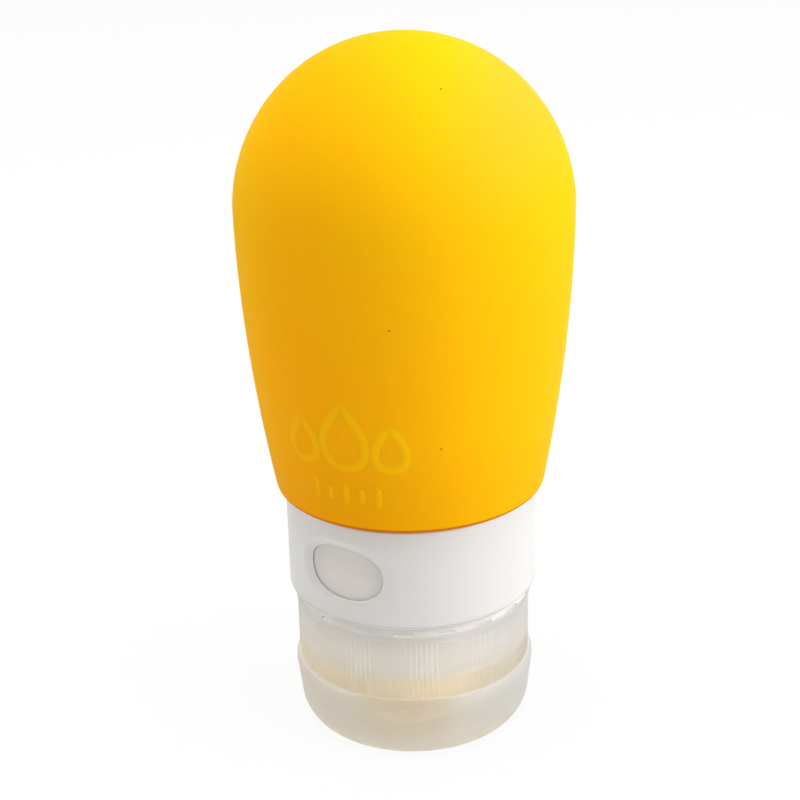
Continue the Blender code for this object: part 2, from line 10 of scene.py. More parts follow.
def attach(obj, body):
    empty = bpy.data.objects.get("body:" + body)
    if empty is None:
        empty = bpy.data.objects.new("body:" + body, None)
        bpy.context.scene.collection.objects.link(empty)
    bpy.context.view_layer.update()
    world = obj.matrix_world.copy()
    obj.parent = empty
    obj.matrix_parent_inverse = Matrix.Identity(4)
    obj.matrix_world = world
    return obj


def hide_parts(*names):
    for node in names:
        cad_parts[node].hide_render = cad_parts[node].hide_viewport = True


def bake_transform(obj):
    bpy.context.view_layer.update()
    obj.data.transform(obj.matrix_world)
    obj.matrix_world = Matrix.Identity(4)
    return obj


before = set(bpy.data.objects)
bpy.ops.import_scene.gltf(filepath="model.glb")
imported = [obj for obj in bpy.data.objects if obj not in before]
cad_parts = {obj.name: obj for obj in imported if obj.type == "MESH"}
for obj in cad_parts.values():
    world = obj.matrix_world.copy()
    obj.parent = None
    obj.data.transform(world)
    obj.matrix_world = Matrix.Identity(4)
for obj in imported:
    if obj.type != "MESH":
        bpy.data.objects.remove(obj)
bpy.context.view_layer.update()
print("frame loaded with", len(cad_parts), "nodes")

mm = 0.001  # every size below is in millimetres, and meshes are written in metres


# Mesh helpers

def direction(azimuth):
    # unit vector of an azimuth in degrees, counted from -Y towards +X: (sin, -cos)
    turn = np.radians(azimuth)
    return np.stack([np.sin(turn), -np.cos(turn)], axis=-1)


def smoothStep(low, high, value):
    # 3t^2 - 2t^3, with t the share of the way from low to high
    share = np.clip((value - low) / (high - low), 0.0, 1.0)
    return share * share * (3.0 - 2.0 * share)


def gridFaces(rows, columns, closeRows, closeColumns):
    # quads (i, j), (i+1, j), (i+1, j+1), (i, j+1), wrapping round where closed
    i = np.arange(rows if closeRows else rows - 1)
    j = np.arange(columns if closeColumns else columns - 1)
    i, j = np.meshgrid(i, j, indexing="ij")
    below = (i + 1) % rows
    beside = (j + 1) % columns
    corners = [i * columns + j, below * columns + j, below * columns + beside, i * columns + beside]
    return np.stack(corners, axis=-1).reshape(-1, 4)


def joined(parts):
    # several pairs of points and faces as one, with the indices in the faces moved on
    points = [np.reshape(part[0], (-1, 3)) for part in parts]
    starts = np.cumsum([0] + [len(part) for part in points])
    faces = [part[1] + start for part, start in zip(parts, starts)]
    return np.concatenate(points), np.concatenate(faces)


def meshPiece(name, points, faces, finish, body, nodes=(), slotName=None, sharp=38.0):
    # points in millimetres and one or more arrays of faces; doubles are merged, so that seams
    # and poles close, and the normals are turned outwards
    points = np.asarray(points, float).reshape(-1, 3) * mm
    kinds = faces if isinstance(faces, list) else [faces]
    sides = np.concatenate([np.full(len(kind), kind.shape[1]) for kind in kinds]).astype(np.int32)
    corners = np.concatenate([kind.ravel() for kind in kinds]).astype(np.int32)
    mesh = bpy.data.meshes.new(name)
    mesh.vertices.add(len(points))
    mesh.vertices.foreach_set("co", points.astype(np.float32).ravel())
    mesh.loops.add(len(corners))
    mesh.loops.foreach_set("vertex_index", corners)
    mesh.polygons.add(len(sides))
    mesh.polygons.foreach_set("loop_start", np.cumsum(sides, dtype=np.int32) - sides)
    mesh.update(calc_edges=True)
    work = bmesh.new()
    work.from_mesh(mesh)
    bmesh.ops.remove_doubles(work, verts=work.verts, dist=0.0005 * mm)
    loose = [vert for vert in work.verts if not vert.link_faces]
    bmesh.ops.delete(work, geom=loose, context="VERTS")
    bmesh.ops.recalc_face_normals(work, faces=work.faces)
    work.to_mesh(mesh)
    work.free()
    mesh.validate()
    mesh.shade_smooth()
    mesh.set_sharp_from_angle(angle=math.radians(sharp))
    piece = bpy.data.objects.new(name, mesh)
    bpy.context.scene.collection.objects.link(piece)
    mesh.materials.append(finish)
    if nodes:
        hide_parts(*nodes)
    if body:
        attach(piece, body)
    return piece


def outline(corners, arcPoints=6, hold=0.06, longest=1.2):
    # closed profile of (radius, height, fillet) corners: every fillet is an arc, with a holding
    # point just past each of its ends, and long straight runs are cut into shorter ones
    table = np.array(corners, float)
    here = table[:, :2]
    before = np.roll(here, 1, axis=0) - here
    after = np.roll(here, -1, axis=0) - here
    lengthBefore = np.maximum(np.linalg.norm(before, axis=1, keepdims=True), 1e-9)
    lengthAfter = np.maximum(np.linalg.norm(after, axis=1, keepdims=True), 1e-9)
    before = before / lengthBefore
    after = after / lengthAfter
    half = np.arccos(np.clip((before * after).sum(axis=1, keepdims=True), -1.0, 1.0)) / 2
    half = np.clip(half, 0.01, math.pi / 2 - 0.001)
    fillet = table[:, 2:3]
    reach = fillet / np.tan(half)
    middle = before + after
    middle = middle / np.maximum(np.linalg.norm(middle, axis=1, keepdims=True), 1e-9)
    center = here + middle * fillet / np.sin(half)
    start = here + before * reach - center
    end = here + after * reach - center
    sweep = math.pi - 2 * half
    share = np.linspace(0.0, 1.0, arcPoints)[None, :, None]
    sweep = sweep[:, None]
    arc = np.sin((1 - share) * sweep) * start[:, None] + np.sin(share * sweep) * end[:, None]
    arc = center[:, None] + arc / np.sin(sweep)
    ahead = here + before * np.minimum(reach + hold, lengthBefore * 0.45)
    behind = here + after * np.minimum(reach + hold, lengthAfter * 0.45)
    rounded = np.concatenate([ahead[:, None], arc, behind[:, None]], axis=1)
    plain = np.repeat(here[:, None], arcPoints + 2, axis=1)
    points = np.where(fillet[:, None] > 0, rounded, plain).reshape(-1, 2)
    step = np.linalg.norm(np.roll(points, -1, axis=0) - points, axis=1)
    points = points[step > 1e-4]
    step = step[step > 1e-4]
    pieces = np.maximum(np.ceil(step / longest), 1).astype(int)
    first = np.repeat(np.arange(len(points)), pieces)
    order = np.arange(len(first)) - np.repeat(np.cumsum(pieces) - pieces, pieces)
    part = (order / pieces[first])[:, None]
    return points[first] * (1 - part) + np.roll(points, -1, axis=0)[first] * part


def signedPower(value, power):
    # |v| ^ power with the sign of v
    return np.sign(value) * np.abs(value) ** power


def spun(profile, azimuths):
    # radius, height and azimuth arrays of a profile turned about the Z axis
    radius = np.repeat(profile[:, :1], len(azimuths), axis=1)
    height = np.repeat(profile[:, 1:2], len(azimuths), axis=1)
    azimuth = np.repeat(azimuths[None, :], len(profile), axis=0)
    return radius, height, azimuth


def placed(radius, height, azimuth):
    # point (r sin a, -r cos a, z) for every entry of the three arrays
    return np.concatenate([direction(azimuth) * radius[..., None], height[..., None]], axis=-1)


def closedPiece(name, radius, height, azimuth, *about, **more):
    # a closed profile carried once round the Z axis, from its three arrays
    points = placed(radius, height, azimuth)
    meshPiece(name, points, gridFaces(*radius.shape, True, True), *about, **more)


def evenly(steps):
    # azimuths of even steps round the axis
    return np.arange(steps) * 360.0 / steps


def turnedPiece(name, profile, steps, *about, **more):
    # a profile turned about the Z axis in even steps
    closedPiece(name, *spun(profile, evenly(steps)), *about, **more)


def upright(radius, heights):
    # profile corners without fillets on one radius, or on a radius for every height
    return np.stack([radius + 0.0 * heights, heights, 0.0 * heights], axis=1)


def cornersOf(part, *rows):
    # corners of radius, height and fillet, each given by its name in part or as a number
    return [[part.get(value, value) for value in row] for row in rows]


# Finishes

class Wire:
    # one output socket; arithmetic with it adds Math nodes
    def __init__(self, finish, socket):
        self.finish = finish
        self.socket = socket

    def maths(self, operation, first, second):
        return self.finish.add("ShaderNodeMath", {"operation": operation}, {0: first, 1: second})

    def __add__(self, other):
        return self.maths("ADD", self, other)

    def __radd__(self, other):
        return self.maths("ADD", other, self)

    def __sub__(self, other):
        return self.maths("SUBTRACT", self, other)

    def __rsub__(self, other):
        return self.maths("SUBTRACT", other, self)

    def __mul__(self, other):
        return self.maths("MULTIPLY", self, other)

    def __rmul__(self, other):
        return self.maths("MULTIPLY", other, self)

    def __gt__(self, other):
        return self.maths("GREATER_THAN", self, other)

    def __lt__(self, other):
        return self.maths("LESS_THAN", self, other)


class Finish:
    # a material whose nodes are added by add(), with its Principled shader in shader
    def __init__(self, name, settings):
        self.material = bpy.data.materials.new(name)
        self.material.use_nodes = True
        self.tree = self.material.node_tree
        self.shader = self.tree.nodes["Principled BSDF"]
        self.set(settings)
        self.place = self.add("ShaderNodeTexCoord", output="Object")

    def set(self, settings):
        for name, value in settings.items():
            self.join(self.shader.inputs[name], value)

    def join(self, socket, value):
        if isinstance(value, Wire):
            self.tree.links.new(value.socket, socket)
        elif isinstance(value, tuple) and len(value) == 3 and socket.type == "RGBA":
            socket.default_value = (*value, 1.0)
        else:
            socket.default_value = value

    def add(self, kind, settings=None, sockets=None, output=0):
        node = self.tree.nodes.new(kind)
        for name, value in (settings or {}).items():
            setattr(node, name, value)
        for name, value in (sockets or {}).items():
            self.join(node.inputs[name], value)
        return Wire(self, node.outputs[output])

    def noise(self, perMetre, detail=2.0):
        sockets = {"Vector": self.place, "Scale": perMetre, "Detail": detail}
        return self.add("ShaderNodeTexNoise", None, sockets)

    def along(self, axis):
        return self.add("ShaderNodeSeparateXYZ", None, {0: self.place}, axis)

    def mixed(self, share, first, second, kind="MIX"):
        settings = {"data_type": "RGBA", "blend_type": kind}
        return self.add("ShaderNodeMix", settings, {0: share, 6: first, 7: second}, 2)

    def stepped(self, value, low, high):
        # 0 at low and 1 at high, with a soft start and end
        sockets = {"Value": value, "From Min": low, "From Max": high}
        return self.add("ShaderNodeMapRange", {"interpolation_type": "SMOOTHSTEP"}, sockets)

    def ramped(self, place, low, high):
        return self.stepped(place, low * mm, high * mm)

    def letIn(self, milk, share, tint):
        # the milky share glows with light from the far side, and shadow rays pass by the other
        # share, so that the lamps light what lies behind the plastic
        cloudy = self.add("ShaderNodeBsdfTranslucent", None, {0: tint})
        body = Wire(self, self.shader.outputs[0])
        body = self.add("ShaderNodeMixShader", None, {0: milk, 1: body, 2: cloudy})
        ray = self.add("ShaderNodeLightPath", output="Is Shadow Ray") * share
        passing = self.add("ShaderNodeBsdfTransparent", None, {0: tint})
        blend = self.add("ShaderNodeMixShader", None, {0: ray, 1: body, 2: passing})
        self.join(self.tree.nodes["Material Output"].inputs["Surface"], blend)

    def bumped(self, height, strength, distance):
        sockets = {"Height": height, "Strength": strength, "Distance": distance * mm}
        self.set({"Normal": self.add("ShaderNodeBump", None, sockets)})


siliconeLook = {
    # the hem, waist and dome colours paint light: lighter and more lemon upwards, as if lit from
    # above
    "hem": (0.87, 0.425, 0.002), "waist": (0.95, 0.475, 0.0025), "dome": (0.95, 0.56, 0.003),
    "line": (0.50, 0.11, 0.0), "paintedSheen": (0.95, 0.47, 0.027), "speck": (0.12, 0.05, 0.01),
    "paintedShadeSide": (1.0, 0.82, 1.0), "paintedLitEdge": (1.0, 0.94, 1.0),
    "hemToWaist": (36, 52), "waistToDome": (50, 97), "hemShadeZ": (36.6, 36.2), "hemShadeShare": 0.9,
    "paintedSheenZ": (76, 92), "paintedSheenX": (3, 17), "paintedShadeX": (-20, 16), "paintedLitEdgeX": (-12, -23),
    "roughness": 0.56, "subsurface": 0.25, "reach": 1.2, "clouding": 0.25,
    "speckCell": 3.0, "speckSize": 0.28, "speckChance": 0.86, "speckShare": 0.8,
}


def siliconeFinish(name, lift):
    # yellow silicone, painted lighter and more lemon towards the dome as if lit from above, with
    # painted shade making its left side orange and its hem's edge darker, its far left edge painted
    # lighter again and a painted pale sheen on the dome's upper right; its own faint clouding, matt
    # grain and rare specks
    look = siliconeLook
    finish = Finish(name, {
        "IOR": 1.41, "Specular IOR Level": 0.02, "Subsurface Weight": look["subsurface"],
        "Subsurface Radius": (1.0, 0.5, 0.08), "Subsurface Scale": look["reach"] * mm,
    })
    sideways = finish.along("X")
    height = finish.along("Z")
    hem, waist, dome = [
        tuple(min(channel * lift, 1.0) for channel in look[key])
        for key in ("hem", "waist", "dome")
    ]
    clouds = (finish.noise(90.0, 3.0) - 0.5) * look["clouding"]
    # painted light: orange at the hem to lemon at the dome, lighter upwards as if lit from above
    base = finish.mixed(finish.ramped(height, *look["hemToWaist"]), hem, waist)
    base = finish.mixed(finish.ramped(height, *look["waistToDome"]) + clouds, base, dome)
    # painted sheen: a pale highlight painted on the upper right of the dome
    paintedSheen = finish.ramped(height, *look["paintedSheenZ"]) * finish.ramped(sideways, *look["paintedSheenX"])
    base = finish.mixed(paintedSheen, base, look["paintedSheen"])
    # painted shade: the left side is painted more orange, with less green
    tint = finish.ramped(sideways, *look["paintedShadeX"])
    tint = finish.mixed(tint, look["paintedShadeSide"], (1.0, 1.0, 1.0))
    # painted light: the far left edge is painted lighter and yellower again, as if lit from the
    # left
    tint = finish.mixed(finish.ramped(sideways, *look["paintedLitEdgeX"]), tint, look["paintedLitEdge"])
    base = finish.mixed(1.0, base, tint, "MULTIPLY")
    # painted shade: a dark orange line along the hem's lower edge, where it meets the collar
    line = finish.ramped(height, *look["hemShadeZ"]) * look["hemShadeShare"]
    base = finish.mixed(line, base, look["line"])
    cells = {"Vector": finish.place, "Scale": 1 / (look["speckCell"] * mm)}
    near = finish.add("ShaderNodeTexVoronoi", None, cells, "Distance")
    chance = finish.add("ShaderNodeTexVoronoi", None, cells, "Color")
    chance = finish.add("ShaderNodeSeparateColor", None, {0: chance}, 0)
    speck = (near < look["speckSize"] / look["speckCell"] / 2) * (chance > look["speckChance"])
    finish.set({
        "Base Color": finish.mixed(speck * look["speckShare"], base, look["speck"]),
        "Roughness": finish.noise(700.0) * 0.12 + (look["roughness"] - 0.06),
    })
    finish.bumped(finish.noise(2600.0, 4.0), 0.35, 0.03)
    return finish.material


whiteLook = {
    "color": (0.725, 0.716, 0.70), "warm": (0.715, 0.70, 0.67), "roughness": 0.42,
    "subsurface": 0.5, "reach": 0.8,
}


def whiteFinish():
    # satin white plastic, with a faint warm clouding and fine spark-eroded grain
    look = whiteLook
    finish = Finish("satinWhitePlastic", {
        "IOR": 1.49, "Specular IOR Level": 0.45, "Subsurface Weight": look["subsurface"],
        "Subsurface Radius": (1.0, 0.95, 0.9), "Subsurface Scale": look["reach"] * mm,
    })
    finish.set({
        "Base Color": finish.mixed(finish.noise(120.0, 3.0), look["color"], look["warm"]),
        "Roughness": finish.noise(1500.0) * 0.10 + (look["roughness"] - 0.05),
    })
    finish.bumped(finish.noise(4200.0, 3.0), 0.25, 0.012)
    return finish.material


frostedLooks = {
    "frostedCap": {
        "color": (1.0, 0.99, 0.97), "warm": (0.98, 0.968, 0.945), "streak": (0.88, 0.87, 0.85),
        "roughness": 0.33, "clear": 0.62, "milk": 0.60, "lightShare": 0.58,
        "tintZ": (12.75, 12.25), "tint": (0.95, 0.875, 0.70), "tintShare": 0.85, "tintMilk": 0.4,
        "shadeX": (3, 17), "shade": (0.66, 0.68, 0.74),
    },
    "frostedLid": {
        "color": (0.95, 0.945, 0.93), "warm": (0.94, 0.925, 0.89), "streak": (0.90, 0.88, 0.85),
        "roughness": 0.34, "clear": 0.6, "milk": 0.55, "lightShare": 0.25,
        "tintZ": (6.5, 0.5), "tint": (0.97, 0.88, 0.72), "tintShare": 0.9, "tintMilk": 0.8,
        "shadeX": (6, 17), "shade": (0.86, 0.90, 0.97), "paintedScoopShade": (1.0, 0.90, 0.74),
        "scoopLeft": (-9, -4), "scoopRight": (8, 3), "scoopY": (-13, -15), "scoopZ": (2.5, 5.0),
    },
    "frostedDial": {
        "color": (0.965, 0.93, 0.89), "warm": (0.955, 0.915, 0.87), "streak": (0.945, 0.90, 0.855),
        "roughness": 0.4, "clear": 0.4, "milk": 0.0, "lightShare": 0.8,
    },
    "frostedNeck": {
        "color": (1.0, 0.995, 0.985), "warm": (0.99, 0.985, 0.97), "streak": (0.98, 0.975, 0.96),
        "roughness": 0.4, "clear": 0.4, "milk": 0.0, "lightShare": 0.8,
    },
}


def frostedFinish(name):
    # frosted natural plastic that lets light and the colours close behind it through, with
    # faint flow lines round it; low down it is warmer, with the cream gasket's colour painted into
    # the cap where it shows through and the lid warmer towards its base, and its right side is
    # painted darker, a painted shade
    look = frostedLooks[name]
    finish = Finish(name, {
        "IOR": 1.45, "Specular IOR Level": 0.5, "Transmission Weight": look["clear"],
    })
    flat = {"Vector": finish.place, "Scale": (1.0, 1.0, 9.0)}
    flat = finish.add("ShaderNodeMapping", None, flat)
    flow = {"Vector": flat, "Scale": 60.0, "Detail": 3.0, "Distortion": 0.6}
    flow = finish.add("ShaderNodeTexNoise", None, flow)
    streaks = finish.stepped(flow, 0.40, 0.62)
    base = finish.mixed(finish.noise(200.0), look["color"], look["warm"])
    base = finish.mixed(streaks, base, look["streak"])
    milk = look["milk"]
    if "tint" in look:
        # low down the cap gets the gasket's cream painted in where it shows through, and the lid is
        # warmer towards its base
        tinted = finish.ramped(finish.along("Z"), *look["tintZ"])
        base = finish.mixed(tinted * look["tintShare"], base, look["tint"])
        milk = (1 - tinted * (1 - look["tintMilk"])) * milk
        # painted shade: the right side is darkened
        shaded = finish.ramped(finish.along("X"), *look["shadeX"])
        base = finish.mixed(shaded, base, look["shade"], "MULTIPLY")
    # painted shade: the lid's thumb scoop is painted darker and pinker
    if "paintedScoopShade" in look:
        scoop = finish.ramped(finish.along("X"), *look["scoopLeft"])
        scoop = scoop * finish.ramped(finish.along("X"), *look["scoopRight"])
        scoop = scoop * finish.ramped(finish.along("Y"), *look["scoopY"])
        scoop = scoop * finish.ramped(finish.along("Z"), *look["scoopZ"])
        base = finish.mixed(scoop, base, look["paintedScoopShade"], "MULTIPLY")
    finish.set({
        "Base Color": base,
        "Roughness": finish.noise(1100.0) * 0.10 + (look["roughness"] - 0.05),
    })
    finish.bumped(finish.noise(3600.0, 3.0), 0.25, 0.012)
    finish.letIn(milk, look["lightShare"], look["warm"])
    return finish.material


creamLook = {"color": (0.80, 0.62, 0.30), "pale": (0.83, 0.66, 0.35), "roughness": 0.5}


def creamFinish():
    # cream silicone of the gasket, softly mottled
    look = creamLook
    finish = Finish("creamSilicone", {"IOR": 1.41, "Specular IOR Level": 0.4})
    finish.set({
        "Base Color": finish.mixed(finish.noise(260.0, 3.0), look["color"], look["pale"]),
        "Roughness": finish.noise(900.0) * 0.1 + (look["roughness"] - 0.05),
    })
    finish.bumped(finish.noise(3000.0), 0.3, 0.02)
    return finish.material


clearLook = {
    "color": (0.86, 0.86, 0.84), "cloud": (0.80, 0.80, 0.78), "clear": 0.5, "roughness": 0.3,
}


def clearFinish():
    # milky clear silicone of the valve
    look = clearLook
    finish = Finish("milkySilicone", {"IOR": 1.41, "Transmission Weight": look["clear"]})
    finish.set({
        "Base Color": finish.mixed(finish.noise(300.0), look["color"], look["cloud"]),
        "Roughness": finish.noise(900.0) * 0.1 + look["roughness"],
    })
    finish.bumped(finish.noise(2500.0), 0.2, 0.02)
    return finish.material


inkLook = {"color": (0.16, 0.16, 0.17), "worn": (0.24, 0.24, 0.25), "roughness": 0.5}


def inkFinish():
    # dull grey print of the dial's numerals, slightly worn
    look = inkLook
    finish = Finish("greyPrint", {"Specular IOR Level": 0.3})
    finish.set({
        "Base Color": finish.mixed(finish.noise(800.0, 4.0), look["color"], look["worn"]),
        "Roughness": finish.noise(1500.0) * 0.1 + look["roughness"],
    })
    return finish.material


yellow = siliconeFinish("yellowSilicone", 1.0)
# the relief's copy of the silicone is painted lighter, a painted highlight where its raised strokes
# catch the light
yellowWithPaintedHighlight = siliconeFinish("paintedHighlightYellowSilicone", 1.13)
white = whiteFinish()
frostedCap = frostedFinish("frostedCap")
frostedLid = frostedFinish("frostedLid")
frostedDial = frostedFinish("frostedDial")
frostedNeck = frostedFinish("frostedNeck")
cream = creamFinish()
milky = clearFinish()
ink = inkFinish()
print("finishes made")


# Silicone bulb

bulb = {
    "radius": 22.5, "domeHeight": 22.25, "taperHeight": 39.4, "wall": 2.2,
    "hemZ": 35.75, "hemRadius": 18.5, "hemFillet": 0.9,
    "lipRadius": 14.2, "lipInner": 12.7, "lipGroove": 0.6, "beadZ": 33.9, "lipEndZ": 25.4,
    "powerOut": 2.08, "powerUp": 1.9, "taperPower": 1.85, "steps": 240,
}
widestZ = bulb["hemZ"] + bulb["taperHeight"]


def bulbSide(height):
    # radius = R - (R - hem radius) * (share of the way down from the widest height) ^ power
    below = (widestZ - np.asarray(height, float)) / bulb["taperHeight"]
    return bulb["radius"] - (bulb["radius"] - bulb["hemRadius"]) * below ** bulb["taperPower"]


def bulbDome(inset, count):
    # superellipse from the top down: radius R cos^(2/n) t, height H sin^(2/m) t
    angle = np.linspace(math.pi / 2, 0.0, count, endpoint=False)
    out = np.clip(np.cos(angle), 0.0, 1.0) ** (2 / bulb["powerOut"])
    out[0] = 0.0
    up = np.sin(angle) ** (2 / bulb["powerUp"])
    return upright((bulb["radius"] - inset) * out, widestZ + (bulb["domeHeight"] - inset) * up)


def bulbTaper(inset, lowest, count):
    # the side from its widest height down to the lowest one
    height = np.linspace(widestZ, lowest, count, endpoint=False)
    return upright(bulbSide(height) - inset, height)


def makeBulb():
    # outer skin downwards, the hem, the lip that plugs into the neck, and the inner skin upwards
    part = bulb
    throatZ = part["hemZ"] + part["wall"]
    throat = float(bulbSide(throatZ)) - part["wall"]
    groove = part["lipRadius"] - part["lipGroove"]
    hem = cornersOf(
        part, ("hemRadius", "hemZ", "hemFillet"), (groove, "hemZ", 0.2), (groove, "beadZ", 0.1),
        ("lipRadius", "beadZ", 0.15), ("lipRadius", "lipEndZ", 0.5), ("lipInner", "lipEndZ", 0.3),
        ("lipInner", throatZ, 0.5), (throat, throatZ, 2.0))
    outer = [bulbDome(0.0, 90), bulbTaper(0.0, part["hemZ"] + 1.2, 70)]
    inner = [bulbDome(part["wall"], 40), bulbTaper(part["wall"], throatZ + 2.5, 40)]
    profile = outline(np.concatenate([*outer, hem, np.concatenate(inner)[::-1]]))
    turnedPiece("siliconeBulb", profile, part["steps"], yellow, "root", nodes=["silicone_body"],
                slotName="silicone_yellow")


makeBulb()
print("bulb made")


# Raised motif and scale on the bulb: plain droplets and ticks

relief = {
    "azimuth": -19.6, "dropZ": 49.9, "dropStroke": 1.3, "proud": 0.1, "sunk": 0.25,
    "drops": [(-6.25, -1.2, 4.2, 6.2), (0.0, 0.0, 6.0, 9.0), (6.25, -1.2, 4.2, 6.2)],
    "tickAzimuth": -20.5, "tickZ": 41.35, "tickStroke": 0.95, "tickSpacing": 2.2,
    "tickHeights": (3.3, 2.1), "softness": 2.4,
}


def reliefGrid(path, halfWidth, proud, closed):
    # a strip along a flat path with the section w = cos t, h = proud * sin t ^ softness above
    # the surface and a flat underside below it; returns its flat points and outward distances
    if closed:
        along = np.roll(path, -1, axis=0) - np.roll(path, 1, axis=0)
    else:
        along = np.gradient(path, axis=0)
    along = along / np.linalg.norm(along, axis=1, keepdims=True)
    across = np.stack([along[:, 1], -along[:, 0]], axis=1)
    around = np.linspace(0.0, math.pi, 13)
    top = np.stack([np.cos(around), proud * np.sin(around) ** relief["softness"]], axis=1)
    under = np.array([(-0.9, -relief["sunk"]), (0.9, -relief["sunk"])])
    section = np.concatenate([top, under])
    flat = path[:, None] + across[:, None] * (section[None, :, :1] * halfWidth[:, None, None])
    shrink = (halfWidth / halfWidth.max())[:, None]
    out = np.repeat(section[None, :, 1], len(path), axis=0) * shrink
    return flat, out


def reliefPiece(name, strips, azimuth, middleZ):
    # each strip is laid on the bulb: azimuth + sideways / radius, height, radius + outwards
    parts = []
    middle = float(bulbSide(middleZ))
    for flat, out, closed in strips:
        height = middleZ + flat[..., 1]
        turn = azimuth + np.degrees(flat[..., 0] / middle)
        points = placed(bulbSide(height) + out, height, turn)
        parts.append((points, gridFaces(*out.shape, closed, True)))
    meshPiece(name, *joined(parts), yellowWithPaintedHighlight, "root", slotName="silicone_yellow", sharp=80.0)


def dropStrip(side, rise, width, height):
    # teardrop x = w sin t sin(t/2), y = h/2 cos t, with its point upwards and narrower there
    angle = np.linspace(0.06, 2 * math.pi - 0.06, 120)
    swell = np.sin(angle) * np.abs(np.sin(angle / 2))
    across = side + width / 2 * swell / swell.max()
    path = np.stack([across, rise + height / 2 * np.cos(angle)], axis=1)
    half = relief["dropStroke"] / 2 * (0.5 + 0.5 * smoothStep(0.0, 0.45, np.sin(angle / 2)))
    return (*reliefGrid(path, half, relief["proud"], True), True)


def tickStrip(side, height):
    # a straight bar with round ends: its half width is sqrt(r^2 - (r - d)^2) within r of an end
    half = relief["tickStroke"] / 2
    share = (1 - np.cos(np.linspace(0.0, math.pi, 33))) / 2
    path = np.stack([np.full(33, side), (share - 0.5) * height], axis=1)
    inset = np.minimum(np.minimum(share, 1 - share) * height, half)
    width = np.sqrt(np.maximum(half ** 2 - (half - inset) ** 2, 1e-6))
    return (*reliefGrid(path, width, relief["proud"], False), False)


def makeReliefs():
    drops = [dropStrip(*drop) for drop in relief["drops"]]
    reliefPiece("dropletRelief", drops, relief["azimuth"], relief["dropZ"])
    ticks = [
        tickStrip((index - 2) * relief["tickSpacing"], relief["tickHeights"][index % 2])
        for index in range(5)
    ]
    reliefPiece("scaleRelief", ticks, relief["tickAzimuth"], relief["tickZ"])


makeReliefs()
print("reliefs made")


# Collar with its oval window

collar = {
    "radius": 17.4, "inner": 16.75, "lowZ": 20.85, "topZ": 35.45, "flangeZ": 34.2,
    "grooveDepth": 0.5, "grooveOuter": 15.5, "lipRadius": 14.2, "bore": 13.9,
    "windowAzimuth": -28.5, "windowWidth": 11.6, "windowHeight": 7.8, "windowPower": 2.3,
    "windowEdge": 0.15, "windowLean": 0.08, "windowInnerEdge": 0.08, "windowLedge": 0.49,
    "windowFlat": 1.03, "windowReach": 1.3, "boxSides": 6, "boxHeight": 1.2, "rings": 18,
    "steps": 240, "wallRows": 36, "wallStart": 0.9, "wallStop": 0.4,
}


def collarProfile(part):
    # outer wall downwards, round the lower edge, inner wall upwards, and the flange
    lowest = part["lowZ"] + part["wallStart"]
    wallZ = np.linspace(part["flangeZ"] - part["wallStop"], lowest, part["wallRows"] + 1)
    grooveZ = part["flangeZ"] + part["grooveDepth"]
    return outline(np.concatenate([
        upright(part["radius"], wallZ),
        cornersOf(part, ("radius", "lowZ", 0.48), ("inner", "lowZ", 0.1)),
        upright(part["inner"], wallZ[::-1]),
        cornersOf(
            part, ("inner", "flangeZ", 0.1), ("grooveOuter", "flangeZ", 0.05),
            ("grooveOuter", grooveZ, 0.05), ("lipRadius", grooveZ, 0.05),
            ("lipRadius", "flangeZ", 0.05), ("bore", "flangeZ", 0.05),
            ("bore", "topZ", 0.12), ("radius", "topZ", 0.25)),
    ]))


